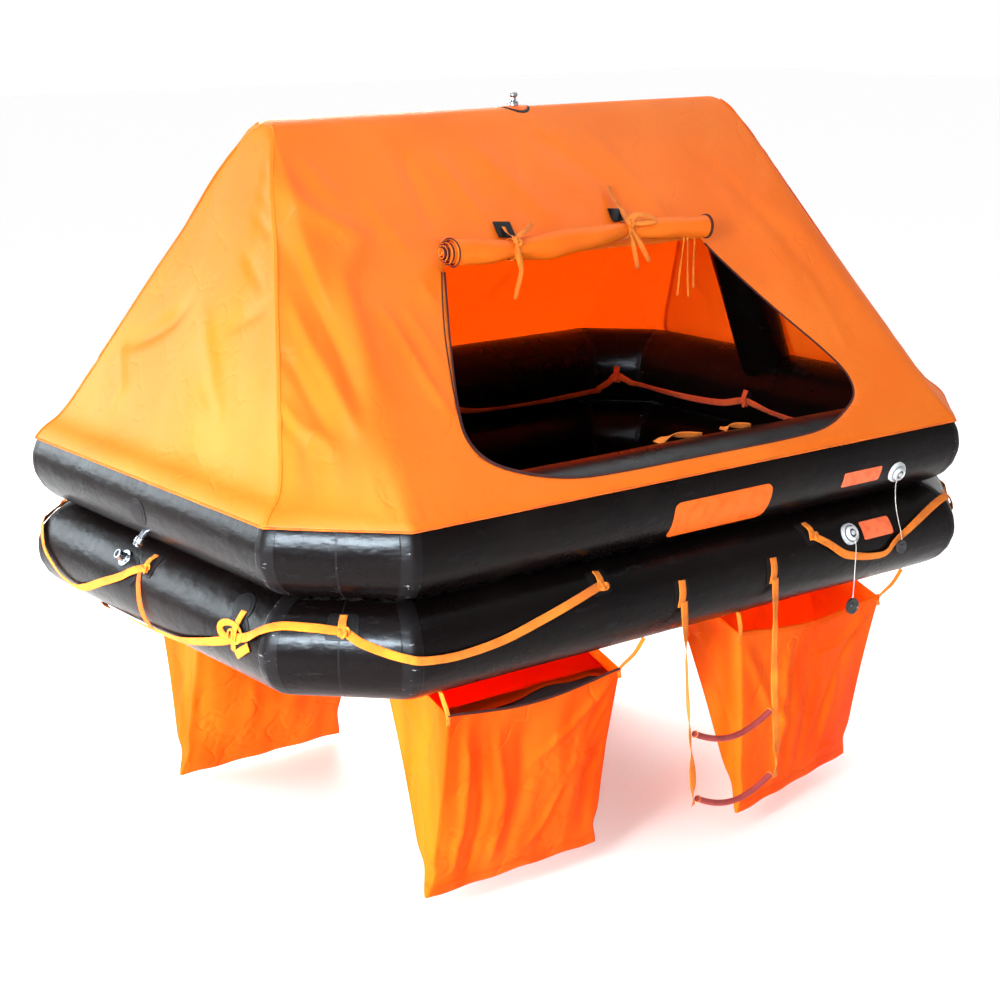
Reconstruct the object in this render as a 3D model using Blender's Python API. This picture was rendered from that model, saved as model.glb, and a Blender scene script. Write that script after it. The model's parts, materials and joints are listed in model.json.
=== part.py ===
"""Inflatable life raft: two buoyancy tubes on an eight-sided plan, a ridge canopy on an arch tube,
hanging ballast pockets, webbing lifelines and a boarding ladder.

Metres, +Z up, X along the ridge, the door faces -Y. The origin is the raft's middle on the light waterline.
"""
import math

import bmesh
import bpy
from mathutils import Vector

# Buoyancy tubes
TUBE_RADIUS = 0.14
HALF_LENGTH = 1.218
HALF_WIDTH = 0.835
CORNER_CUT_LENGTH = 0.203
CORNER_CUT_WIDTH = 0.207
DRAUGHT = 0.02
TUBE_SIDES = 36
SMOOTH_ANGLE = 35.0
NORMAL_STEP = 0.01
CORNER_MARGIN = 0.02

# Fits
CLEARANCE = 0.0003
SHEET_LIFT = 0.002
HEM_LIFT = 0.0004

# Canopy and its arch tube
RIDGE_HEIGHT = 1.463
RIDGE_HALF_LENGTH = 0.894
ARCH_RADIUS = 0.09
ARCH_SIDES = 20
ARCH_BEND_RADIUS = 0.1
ARCH_BEND_PARTS = 4
ARCH_FOOT_DEPTH = 0.075
CANOPY_THICKNESS = 0.004
HEM_ANGLE = 30.0
FRONT_TOUCH_ANGLE = 50.0
END_TOUCH_ANGLE = 70.0
WRAP_ROWS = 7
RIDGE_ROWS = 4
RIDGE_WRAP = 45.0
SEAM_GAP = 0.0004

# Door in the front panel: distance down the slope from the ridge line, left edge, right edge
DOOR_OUTLINE = (
    (0.610, -0.553, 0.447),
    (0.700, -0.592, 0.484),
    (0.880, -0.670, 0.578),
    (1.060, -0.740, 0.677),
    (1.170, -0.765, 0.722),
    (1.250, -0.731, 0.702),
    (1.305, -0.635, 0.616),
    (1.345, -0.500, 0.506),
    (1.357, -0.350, 0.350),
)
DOOR_CUTTER_DEPTH = 0.03

# Rolled door, and its ties: name, x, length of the hanging end
ROLL_RADIUS = 0.036
ROLL_CENTRE = -0.063
ROLL_HALF_LENGTH = 0.495
ROLL_DOWN = 0.590
ROLL_SIDES = 16
TIE_PLACES = (
    ("left", -0.290, 0.17),
    ("right", 0.165, 0.16),
)
TIE_WIDTH = 0.022
TIE_THICKNESS = 0.002
TIE_WRAP_FROM = -62.0
TIE_WRAP_TO = 44.0
TIE_WRAP_POINTS = 6
TIE_LAP = 0.05
TIE_PATCH_WIDTH = 0.066
TIE_PATCH_LENGTH = 0.062
TIE_PATCH_GAP = 0.004
TIE_PATCH_THICKNESS = 0.002

# Ridge lamp
LAMP_X = 0.02
LAMP_PATCH_WIDTH = 0.105
LAMP_PATCH_ANGLE = 34.0
LAMP_PATCH_THICKNESS = 0.003
LAMP_PATCH_POINTS = 9
LAMP_RADIUS = 0.017
LAMP_HEIGHT = 0.042
LAMP_PROFILE = ((1.0, 0.0), (1.0, 0.3), (0.62, 0.42), (0.62, 0.6), (0.85, 0.75), (0.7, 0.93), (0.3, 1.0))

# Floor
FLOOR_BOTTOM = 0.011
FLOOR_THICKNESS = 0.003

# Ballast pockets: name, side, end, distance from the tube's corner, from the middle, of the hem in from the
# tube's centre line, hem depth, hem skew
POCKETS = (
    ("front_left", -1, -1, 0.145, 0.243, 0.115, 0.70, 0.0),
    ("front_right", -1, 1, 0.135, 0.250, 0.065, 0.70, 0.07),
    ("rear_left", 1, -1, 0.135, 0.243, 0.135, 0.78, 0.0),
    ("rear_right", 1, 1, 0.135, 0.243, 0.135, 0.78, 0.0),
)
POCKET_REACH = 0.345
POCKET_FRONT_DROP = 0.11
POCKET_WALL = 0.004
POCKET_HEM = 0.012
POCKET_HEM_INSIDE = 0.0072
POCKET_STRAP_WIDTH = 0.02
POCKET_STRAP_THICKNESS = 0.0042
POCKET_STRAP_SEAM = 0.012

# Boarding ladder; its straps: name, x at the top, how far the foot stands to the right
LADDER_STRAPS = (
    ("left", -0.127, 0.05),
    ("right", 0.245, 0.025),
)
LADDER_STRAP_WIDTH = 0.026
LADDER_STRAP_THICKNESS = 0.003
LADDER_PATCH_TOP = 19.0
LADDER_PATCH_BOTTOM = -14.0
LADDER_PATCH_WIDTH = 0.034
LADDER_PATCH_THICKNESS = 0.003
LADDER_STRAP_LAP = 0.02
LADDER_STRAP_TAIL = 0.019
RUNG_RADIUS = 0.0095
RUNG_SAG = 0.05
RUNG_DROPS = (("upper", 0.415), ("lower", 0.625))
RUNG_STEPS = 10
RUNG_SIDES = 10

# Webbing lifelines
WEB_WIDTH = 0.025
WEB_THICKNESS = 0.002
WEB_LIFT = 0.006
WEB_PATCH_LENGTH = 0.045
WEB_STEP = 12.0

# Where the rear lifeline starts and dips below the lower valve: distance along from the valve, angle
LIFELINE_DIP = (
    (-0.160, 36.0), (-0.097, 18.0), (-0.044, 4.0), (0.016, -3.0), (0.082, -8.0), (0.151, -8.0),
    (0.219, 9.0),
)
# Side position counts the eight corners from front-left; angle is measured up from level on the outside
LIFELINE_REAR = (
    (2.05, 44.0), (2.45, 10.0), (2.75, 0.0), (3.00, 14.0), (3.12, 38.0), (3.30, -4.0), (3.44, 2.0),
    (3.56, 38.0), (3.72, -6.0), (3.90, -2.0), (4.10, 12.0), (4.50, 38.0), (4.92, 6.0), (5.14, -10.0),
    (5.33, 38.0), (5.50, -14.0), (5.67, 38.0), (5.86, -10.0), (6.10, 6.0), (6.50, 40.0), (6.78, 38.0),
    (6.95, -4.0), (7.07, -40.0), (7.19, -34.0), (7.30, -10.0), (7.41, 12.0), (7.50, 38.0),
)
LIFELINE_REAR_PATCHES = (3.12, 3.56, 4.50, 5.33, 5.67, 6.50, 7.50)
LIFELINE_FRONT = (
    (7.890, 8.0), (7.94, 16.0), (7.98, 28.0), (8.08, 36.0), (8.29, 35.5), (8.46, 34.0), (8.510, 34.0),
    (8.56, 30.0), (8.64, 22.0), (8.80, 13.0), (8.92, 8.0), (9.021, 2.5), (9.066, 0.0), (9.129, 4.0),
    (9.194, 15.0), (9.246, 25.0), (9.303, 37.0),
)
LIFELINE_FRONT_PATCHES = (8.510, 9.303)
BRIDLE = (
    (7.20, -62.0), (7.31, -54.0), (7.42, -47.0), (7.513, -41.0), (7.642, -32.0), (7.745, -17.0),
    (7.834, -3.0), (7.858, 1.0), (7.868, 3.0), (7.878, 5.0),
)
BRIDLE_PATCH = 7.895
BRIDLE_PATCH_SIZE = 0.10
BRIDLE_PATCH_SWEEP = 40.0
BRIDLE_PATCH_ANGLE = 12.0
BRIDLE_PATCH_THICKNESS = 0.0025
INNER_LINE = (
    (3.06, 190.0), (3.14, 205.0), (3.26, 212.0), (3.38, 203.0), (3.5, 188.0), (3.66, 200.0), (3.84, 200.0),
    (4.06, 196.0), (4.30, 190.0), (4.5, 186.0), (4.72, 197.0), (5.00, 212.0), (5.16, 216.0), (5.33, 186.0),
    (5.50, 212.0), (5.67, 186.0), (5.84, 214.0), (6.02, 208.0), (6.30, 192.0), (6.5, 186.0), (6.72, 194.0),
    (6.94, 206.0), (7.16, 208.0), (7.34, 200.0), (7.5, 188.0), (7.64, 204.0), (7.80, 210.0), (7.94, 194.0),
)
INNER_LINE_PATCHES = (3.5, 4.5, 5.33, 5.67, 6.5, 7.5)

# Valves, one on each tube: tube, x, angle
VALVES = (
    ("upper", 0.784, -21.0),
    ("lower", 0.585, 26.0),
)
VALVE_RADIUS = 0.034
VALVE_HEIGHT = 0.022
VALVE_RIM = 0.007
VALVE_STEP = 0.004
VALVE_HUB_RADIUS = 0.019
VALVE_ROOT = 0.008

# Valve caps, which hang on lanyards: tube, radius
CAPS = (
    ("upper", 0.021),
    ("lower", 0.026),
)
CAP_HEIGHT = 0.012
CAP_GAP = 0.0007
CAP_PROFILE = ((0.8, 0.0), (1.0, 0.25), (1.0, 0.75), (0.62, 1.0))
CORD_RADIUS = 0.0013
CORD_POINTS = 30
LANYARD_UPPER = (
    (0.7840, -0.9723, 0.3269), (0.7840, -0.9694, 0.3194), (0.7842, -0.9662, 0.3101),
    (0.7850, -0.9648, 0.2900), (0.7870, -0.9655, 0.2550), (0.7900, -0.9700, 0.2200),
    (0.7930, -0.9768, 0.1900), (0.7955, -0.9850, 0.1600), (0.7975, -0.9899, 0.1310),
)
LANYARD_LOWER = (
    (0.5850, -0.9823, 0.1704), (0.5850, -0.9858, 0.1632), (0.5846, -0.9898, 0.1542),
    (0.5840, -0.9915, 0.1350), (0.5830, -0.9920, 0.1050), (0.5815, -0.9922, 0.0650),
    (0.5800, -0.9922, 0.0250), (0.5780, -0.9922, -0.0165),
)

# Inflation fittings on the left end, each at a side position and an angle
INLET_PLACE = (7.40, 37.0)
INLET_FLANGE_RADIUS = 0.026
INLET_FLANGE_HEIGHT = 0.006
INLET_ROOT = 0.006
INLET_SHOULDER = 0.01
INLET_RADIUS = 0.0143
INLET_HEIGHT = 0.034
HOSE_PLACE = (7.475, -46.0)
HOSE_RADIUS = 0.012
HOSE_ROOT = 0.004
HOSE_NUT_RADIUS = 0.0156
HOSE_NUT_START = 0.018
HOSE_NUT_SHOULDER = 0.02
HOSE_HEIGHT = 0.045
ROUND_SIDES = 20

# Plain sign and labels: name, tube, x from, x to, angle from, angle to
PLATES = (
    ("boarding_sign", "upper", -0.152, 0.215, -50.0, 2.0),
    ("label_upper", "upper", 0.545, 0.700, -27.0, -7.0),
    ("label_lower", "lower", 0.650, 0.768, 14.0, 38.0),
)
PLATE_THICKNESS = 0.0015
PLATE_STEP = 5.0

LOWER_Z = TUBE_RADIUS - DRAUGHT
UPPER_Z = LOWER_Z + 2 * TUBE_RADIUS + CLEARANCE
TUBE_Z = {"lower": LOWER_Z, "upper": UPPER_Z}
ARCH_Z = RIDGE_HEIGHT - CANOPY_THICKNESS - SHEET_LIFT - ARCH_RADIUS


def corner_list():
    """The eight corners of the tubes' centre line, from front-left round by the front."""
    straight = HALF_LENGTH - CORNER_CUT_LENGTH
    side = HALF_WIDTH - CORNER_CUT_WIDTH
    return [
        Vector((-HALF_LENGTH, -side)), Vector((-straight, -HALF_WIDTH)),
        Vector((straight, -HALF_WIDTH)), Vector((HALF_LENGTH, -side)),
        Vector((HALF_LENGTH, side)), Vector((straight, HALF_WIDTH)),
        Vector((-straight, HALF_WIDTH)), Vector((-HALF_LENGTH, side)),
    ]


CORNERS = corner_list()


def mitre_point(index, angle, centre_z, radius):
    """A point of the tube's mitred joint at one corner."""
    count = len(CORNERS)
    before, here, after = (CORNERS[(index + k) % count] for k in (-1, 0, 1))
    into = (here - before).normalized()
    onward = (after - here).normalized()
    normal_in = Vector((into.y, -into.x))
    normal_on = Vector((onward.y, -onward.x))
    bisector = (normal_in + normal_on).normalized()
    reach = radius * math.cos(angle) / bisector.dot(normal_in)
    flat = here + bisector * reach
    return Vector((flat.x, flat.y, centre_z + radius * math.sin(angle)))


def tube_point(position, degrees, centre_z, radius=TUBE_RADIUS):
    """A point on a tube: position counts corners, degrees is measured up from level on the outside."""
    index = math.floor(position)
    share = position - index
    angle = math.radians(degrees)
    first = mitre_point(index, angle, centre_z, radius)
    second = mitre_point(index + 1, angle, centre_z, radius)
    return first.lerp(second, share)


def tube_normal(position, degrees):
    """The outward normal of the tube at one place."""
    index = math.floor(position)
    along = (CORNERS[(index + 1) % len(CORNERS)] - CORNERS[index % len(CORNERS)]).normalized()
    angle = math.radians(degrees)
    return Vector((along.y * math.cos(angle), -along.x * math.cos(angle), math.sin(angle)))


def corner_normal(position, degrees):
    """The tube's normal, turned half way at a corner."""
    before = tube_normal(position - NORMAL_STEP, degrees)
    after = tube_normal(position + NORMAL_STEP, degrees)
    return (before + after).normalized()


def front_position(x, degrees, centre_z):
    """The side position on the front tube whose surface point has this x."""
    left, right = (mitre_point(index, math.radians(degrees), centre_z, TUBE_RADIUS).x for index in (1, 2))
    return 1.0 + (x - left) / (right - left)


def material(name, colour, roughness, metallic=0.0):
    made = bpy.data.materials.get(name) or bpy.data.materials.new(name)
    made.use_nodes = True
    shader = made.node_tree.nodes["Principled BSDF"]
    shader.inputs["Base Color"].default_value = (*colour, 1.0)
    shader.inputs["Roughness"].default_value = roughness
    shader.inputs["Metallic"].default_value = metallic
    return made


FINISHES = {
    "rubber": ((0.012, 0.013, 0.016), 0.28, 0.0),
    "canopy": ((1.0, 0.20, 0.02), 0.55, 0.0),
    "pocket": ((1.0, 0.11, 0.01), 0.6, 0.0),
    "webbing": ((0.95, 0.33, 0.04), 0.7, 0.0),
    "floor": ((0.02, 0.02, 0.022), 0.5, 0.0),
    "rung": ((0.36, 0.04, 0.04), 0.45, 0.0),
    "sign": ((0.95, 0.22, 0.03), 0.5, 0.0),
    "label": ((0.95, 0.30, 0.12), 0.5, 0.0),
    "valve": ((0.82, 0.84, 0.85), 0.35, 0.0),
    "cap": ((0.02, 0.02, 0.02), 0.4, 0.0),
    "cord": ((0.75, 0.74, 0.70), 0.7, 0.0),
    "steel": ((0.62, 0.62, 0.63), 0.25, 1.0),
    "lamp": ((0.80, 0.82, 0.84), 0.15, 0.0),
}


def add_mesh(name, points, faces, finish):
    mesh = bpy.data.meshes.new(name)
    mesh.from_pydata([tuple(point) for point in points], [], faces)
    mesh.update()
    shape = bmesh.new()
    shape.from_mesh(mesh)
    bmesh.ops.recalc_face_normals(shape, faces=shape.faces)
    shape.to_mesh(mesh)
    shape.free()
    made = bpy.data.objects.new(name, mesh)
    bpy.context.collection.objects.link(made)
    mesh.materials.append(material(finish, *FINISHES[finish]))
    return made


def smooth(made):
    made.data.shade_smooth()
    made.data.set_sharp_from_angle(angle=math.radians(SMOOTH_ANGLE))
    return made


def ring_faces(rings, sides, closed):
    """Quads between rings of points, with end caps unless the rings close on themselves."""
    faces = []
    last = rings if closed else rings - 1
    for ring in range(last):
        here = ring * sides
        there = (ring + 1) % rings * sides
        for side in range(sides):
            beyond = (side + 1) % sides
            faces.append((here + side, here + beyond, there + beyond, there + side))
    if not closed:
        faces.append(tuple(range(sides)))
        faces.append(tuple(range((rings - 1) * sides, rings * sides)))
    return faces


def split_quads(faces, crossed):
    """Triangles of the quads, cut along their other diagonal where crossed says so, so that both faces of
    a thin wall fold alike where it twists."""
    out = []
    for index, (a, b, c, d) in enumerate(faces):
        out += [(a, b, d), (b, c, d)] if crossed(index) else [(a, b, c), (a, c, d)]
    return out


def buoyancy_tube(name, centre_z, radius):
    points = []
    for index in range(len(CORNERS)):
        for side in range(TUBE_SIDES):
            points.append(mitre_point(index, math.tau * side / TUBE_SIDES, centre_z, radius))
    return smooth(add_mesh(name, points, ring_faces(len(CORNERS), TUBE_SIDES, True), "rubber"))


def apply_boolean(made, cutter, operation):
    step = made.modifiers.new(operation.lower(), "BOOLEAN")
    step.object = cutter
    step.operation = operation
    step.solver = "EXACT"
    cutter.hide_render = True
    cutter.display_type = "WIRE"


def swept(name, path, radius, sides, finish):
    """A round tube along a path, each ring lying in the plane that halves the bend."""
    points = []
    side_axis = Vector((0.0, 1.0, 0.0))
    for index, place in enumerate(path):
        into = (place - path[max(index - 1, 0)]).normalized()
        onward = (path[min(index + 1, len(path) - 1)] - place).normalized()
        tangent = (into + onward).normalized()
        across = tangent.cross(side_axis).normalized()
        upright = across.cross(tangent).normalized()
        cosine = tangent.dot(into if index else onward)
        for side in range(sides):
            angle = math.tau * side / sides
            outward = upright * math.cos(angle) + across * math.sin(angle) / cosine
            points.append(place + outward * radius)
    return smooth(add_mesh(name, points, ring_faces(len(path), sides, False), finish))


def ribbon(name, path, normals, width, thickness, finish):
    """A flat strap along a path, its broad face along the given normals."""
    points = []
    for index, place in enumerate(path):
        ahead = path[min(index + 1, len(path) - 1)]
        behind = path[max(index - 1, 0)]
        tangent = (ahead - behind).normalized()
        normal = normals[index]
        across = tangent.cross(normal).normalized() * width / 2
        rise = across.cross(tangent).normalized() * thickness / 2
        points += [place - across - rise, place + across - rise,
                   place + across + rise, place - across + rise]
    faces = split_quads(ring_faces(len(path), 4, False), lambda index: index % 4 == 2)
    return add_mesh(name, points, faces, finish)


def smooth_row(rows, step):
    """Points of a Catmull-Rom curve through the rows, each about one step of side position apart."""
    curve = []
    for index in range(len(rows) - 1):
        before = Vector(rows[max(index - 1, 0)])
        first, second = Vector(rows[index]), Vector(rows[index + 1])
        after = Vector(rows[min(index + 2, len(rows) - 1)])
        parts = max(2, round(abs(first.y - second.y) / step))
        for part in range(parts):
            share = part / parts
            curve.append(0.5 * (2 * first + (second - before) * share
                                + (2 * before - 5 * first + 4 * second - after) * share ** 2
                                + (3 * first - before - 3 * second + after) * share ** 3))
    curve.append(Vector(rows[-1]))
    return curve


def with_corners(curve):
    """The same curve with a point added exactly at each corner that it passes."""
    out = [curve[0]]
    for first, second in zip(curve, curve[1:]):
        for corner in range(math.ceil(first.x), math.floor(second.x) + 1):
            share = (corner - first.x) / (second.x - first.x)
            if CORNER_MARGIN < share < 1.0 - CORNER_MARGIN:
                out.append(first.lerp(second, share))
        out.append(second)
    return out


def tube_patch_mesh(positions, angles, centre_z, bottom, top):
    """Points and faces of a curved plate on a tube, from one radius to another."""
    points, faces = [], []
    flat = math.cos(math.radians(angles[1] - angles[0]) / 2)
    layers = [[[tube_point(p, a, centre_z, (TUBE_RADIUS + lift) / flat) for a in angles] for p in positions]
              for lift in (bottom, top)]
    rows, columns = len(positions), len(angles)
    for layer in layers:
        for row in layer:
            points += row
    half = rows * columns

    def corner(layer, row, column):
        return layer * half + row * columns + column

    for row in range(rows - 1):
        for column in range(columns - 1):
            for layer in (0, 1):
                faces.append((corner(layer, row, column), corner(layer, row + 1, column),
                              corner(layer, row + 1, column + 1), corner(layer, row, column + 1)))
    for row in range(rows - 1):
        for column in (0, columns - 1):
            faces.append((corner(0, row, column), corner(0, row + 1, column),
                          corner(1, row + 1, column), corner(1, row, column)))
    for column in range(columns - 1):
        for row in (0, rows - 1):
            faces.append((corner(0, row, column), corner(0, row, column + 1),
                          corner(1, row, column + 1), corner(1, row, column)))
    return points, faces


def spaced(first, last, count):
    return [first + (last - first) * index / (count - 1) for index in range(count)]


def spread(first, last):
    """Angles from first to last in even steps of about PLATE_STEP degrees."""
    return spaced(first, last, 1 + max(1, round(abs(last - first) / PLATE_STEP)))


def side_length(position):
    index = math.floor(position)
    return (CORNERS[(index + 1) % len(CORNERS)] - CORNERS[index % len(CORNERS)]).length


def webbing_line(name, rows, patches, centre_z):
    """Webbing along a tube that stands a little proud of it between the patches that hold it."""
    curve = with_corners(smooth_row(rows, WEB_STEP))
    path, normals = [], []
    for position, angle in curve:
        near = min(abs(position - place) * side_length(position) for place in patches)
        lift = CLEARANCE * 2 + (WEB_LIFT - CLEARANCE * 2) * min(1.0, near / WEB_PATCH_LENGTH)
        path.append(tube_point(position, angle, centre_z, TUBE_RADIUS + lift + WEB_THICKNESS / 2))
        normals.append(corner_normal(position, angle))
    return ribbon(name, path, normals, WEB_WIDTH, WEB_THICKNESS, "webbing")


def end_plane_x(z, inset=0.0):
    """x of the end panels' outer face at a height, moved inwards by the inset."""
    foot = tube_point(7.5, END_TOUCH_ANGLE, UPPER_Z, TUBE_RADIUS + SHEET_LIFT + CANOPY_THICKNESS)
    slope = (-foot.x - RIDGE_HALF_LENGTH) / (RIDGE_HEIGHT - foot.z)
    return RIDGE_HALF_LENGTH + slope * (RIDGE_HEIGHT - z) - inset * math.hypot(1.0, slope)


def ridge_section(inset):
    """Rows of (y, z) over the arch tube from the top down to the front tangent."""
    radius = ARCH_RADIUS + SHEET_LIFT + CANOPY_THICKNESS - inset
    rows = []
    for row in range(RIDGE_ROWS):
        angle = math.radians(90.0 - RIDGE_WRAP * row / (RIDGE_ROWS - 1))
        rows.append((-radius * math.cos(angle), ARCH_Z + radius * math.sin(angle)))
    return rows


def wrap_column(position, start, inset):
    """Points down the tube from where the cloth first touches it to its hem."""
    points = []
    for row, angle in enumerate(spaced(start, HEM_ANGLE, WRAP_ROWS)):
        lift = HEM_LIFT if row == WRAP_ROWS - 1 else SHEET_LIFT
        points.append(tube_point(position, angle, UPPER_Z, TUBE_RADIUS + lift + CANOPY_THICKNESS - inset))
    return points


def front_grid(inset):
    """Columns of the front panel from left to right, each from the ridge down to the hem."""
    ridge = ridge_section(inset)
    columns = []
    between = (END_TOUCH_ANGLE + FRONT_TOUCH_ANGLE) / 2
    starts = ((0.0, END_TOUCH_ANGLE), (0.5, between), (1.0, FRONT_TOUCH_ANGLE),
              (2.0, FRONT_TOUCH_ANGLE), (2.5, between), (3.0, END_TOUCH_ANGLE))
    for position, start in starts:
        sign = -1.0 if position < 1.5 else 1.0
        top = [Vector((sign * end_plane_x(z, inset), y, z)) for y, z in ridge]
        columns.append(top + wrap_column(position, start, inset))
    return columns


def end_grid(inset):
    """Columns of the left end panel from its front seam to its rear seam."""
    ridge = ridge_section(inset)
    fan = [(y, z) for y, z in reversed(ridge)] + [(-y, z) for y, z in ridge[1:]]
    columns = []
    for index, (y, z) in enumerate(fan):
        share = index / (len(fan) - 1)
        position = 8.0 - share
        peak = Vector((-end_plane_x(z, inset), y, z))
        columns.append([peak] + wrap_column(position, END_TOUCH_ANGLE, inset))
    return columns


def shell(name, outer, inner, finish):
    """A closed sheet between an outer and an inner grid; the end columns share their ridge points."""
    columns, rows = len(outer), len(outer[0])
    points, index_of = [], {}

    def corner(layer, column, row):
        grid = (outer, inner)[layer]
        place = grid[column][row]
        key = (layer, tuple(round(value, 6) for value in place))
        if key not in index_of:
            index_of[key] = len(points)
            points.append(place)
        return index_of[key]

    faces = []

    def add_face(corners):
        kept = [c for k, c in enumerate(corners) if c != corners[k - 1]]
        if len(set(kept)) > 2:
            faces.append(tuple(kept))

    for column in range(columns - 1):
        for row in range(rows - 1):
            for layer in (0, 1):
                add_face([corner(layer, column, row), corner(layer, column + 1, row),
                          corner(layer, column + 1, row + 1), corner(layer, column, row + 1)])
    for row in range(rows - 1):
        for column in (0, columns - 1):
            add_face([corner(0, column, row), corner(0, column, row + 1),
                      corner(1, column, row + 1), corner(1, column, row)])
    for column in range(columns - 1):
        for row in (0, rows - 1):
            add_face([corner(0, column, row), corner(0, column + 1, row),
                      corner(1, column + 1, row), corner(1, column, row)])
    return add_mesh(name, points, faces, finish)


def nudge(grid, columns, rows, shift):
    """Moves the named rows and columns of a grid so that neighbours keep their seam gap."""
    return [[place + shift if column in columns and row in rows else place
             for row, place in enumerate(line)] for column, line in enumerate(grid)]


def front_plane():
    """The front panel's outer plane: its point over the ridge line, its direction down and its normal."""
    ridge_y, ridge_z = ridge_section(0.0)[-1]
    foot = tube_point(1.5, FRONT_TOUCH_ANGLE, UPPER_Z, TUBE_RADIUS + SHEET_LIFT + CANOPY_THICKNESS)
    down = Vector((0.0, foot.y - ridge_y, foot.z - ridge_z)).normalized()
    top = Vector((0.0, 0.0, ridge_z - ridge_y * down.z / down.y))
    return top, down, Vector((0.0, down.z, -down.y))


def door_point(across, distance, lift=0.0):
    """A point over the front panel: across from the middle, down the slope, and out from the cloth."""
    top, down, normal = front_plane()
    return top + Vector((across, 0.0, 0.0)) + down * distance + normal * lift


def canopy():
    outer, inner = front_grid(0.0), front_grid(CANOPY_THICKNESS)
    half = SEAM_GAP / 2
    rows = range(len(outer[0]))
    for sign, name in ((1.0, "canopy_front"), (-1.0, "canopy_back")):
        grids = []
        for grid in (outer, inner):
            moved = nudge(grid, (0, 1, 2), rows, Vector((half, 0.0, 0.0)))
            moved = nudge(moved, (3, 4, 5), rows, Vector((-half, 0.0, 0.0)))
            moved = nudge(moved, range(6), (0,), Vector((0.0, -half, 0.0)))
            grids.append([[Vector((p.x, sign * p.y, p.z)) for p in line] for line in moved])
        panel = shell(name, grids[0], grids[1], "canopy")
        if sign > 0:
            cut_door(panel)
    outer, inner = end_grid(0.0), end_grid(CANOPY_THICKNESS)
    for sign, name in ((1.0, "canopy_left"), (-1.0, "canopy_right")):
        grids = []
        for grid in (outer, inner):
            moved = [[p + Vector((-half, 0.0, 0.0)) for p in line] for line in grid]
            grids.append([[Vector((sign * p.x, p.y, p.z)) for p in line] for line in moved])
        shell(name, grids[0], grids[1], "canopy")


def cut_door(panel):
    outline = [(left, distance) for distance, left, right in DOOR_OUTLINE]
    outline += [(right, distance) for distance, left, right in reversed(DOOR_OUTLINE)]
    points = []
    for lift in (-DOOR_CUTTER_DEPTH, DOOR_CUTTER_DEPTH):
        points += [door_point(across, distance, lift) for across, distance in outline]
    cutter = add_mesh("door_cutter", points, ring_faces(2, len(outline), False), "canopy")
    apply_boolean(panel, cutter, "DIFFERENCE")


def arch_tube():
    """The canopy's inflated arch, from foot to foot, seated on the upper tube."""
    reach = SHEET_LIFT + CANOPY_THICKNESS + ARCH_RADIUS
    lean_top = Vector((-end_plane_x(ARCH_Z, reach), 0.0, ARCH_Z))
    foot_z = UPPER_Z + TUBE_RADIUS - ARCH_FOOT_DEPTH
    lean_foot = Vector((-end_plane_x(foot_z, reach), 0.0, foot_z))
    down = (lean_foot - lean_top).normalized()
    along = Vector((1.0, 0.0, 0.0))
    turn = math.pi - math.acos(down.dot(along))
    trim = ARCH_BEND_RADIUS * math.tan(turn / 2)
    first, last = lean_top + down * trim, lean_top + along * trim
    bend = []
    for part in range(1, ARCH_BEND_PARTS):
        share = part / ARCH_BEND_PARTS
        bend.append(first.lerp(lean_top, share).lerp(lean_top.lerp(last, share), share))
    half = [lean_foot, first] + bend + [last]
    path = half + [Vector((-p.x, p.y, p.z)) for p in reversed(half)]
    arch = swept("arch_tube", path, ARCH_RADIUS, ARCH_SIDES, "rubber")
    apply_boolean(arch, clearance_ring("upper"), "DIFFERENCE")


def clearance_ring(tube):
    name = tube + "_clearance"
    return bpy.data.objects.get(name) or buoyancy_tube(name, TUBE_Z[tube], TUBE_RADIUS + CLEARANCE)


def floor_sheet():
    """The floor cloth, reaching the inner side of the lower tube all round."""
    points = []
    for z in (FLOOR_BOTTOM, FLOOR_BOTTOM + FLOOR_THICKNESS):
        angle = math.pi - math.asin((z - LOWER_Z) / TUBE_RADIUS)
        radius = TUBE_RADIUS + CLEARANCE
        for index in range(len(CORNERS)):
            place = mitre_point(index, angle, LOWER_Z, radius)
            points.append(Vector((place.x, place.y, z)))
    return add_mesh("floor_sheet", points, ring_faces(2, len(CORNERS), False), "floor")


def door_roll():
    """The door, rolled up and tied above its opening."""
    top, down, normal = front_plane()
    points = []
    for x in (ROLL_CENTRE - ROLL_HALF_LENGTH, ROLL_CENTRE + ROLL_HALF_LENGTH):
        centre = door_point(x, ROLL_DOWN, ROLL_RADIUS + CLEARANCE)
        for side in range(ROLL_SIDES):
            angle = math.tau * side / ROLL_SIDES
            points.append(centre + (normal * math.cos(angle) + down * math.sin(angle)) * ROLL_RADIUS)
    smooth(add_mesh("door_roll", points, ring_faces(2, ROLL_SIDES, False), "canopy"))
    for name, x, tail in TIE_PLACES:
        door_tie(name, x, tail)


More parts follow.
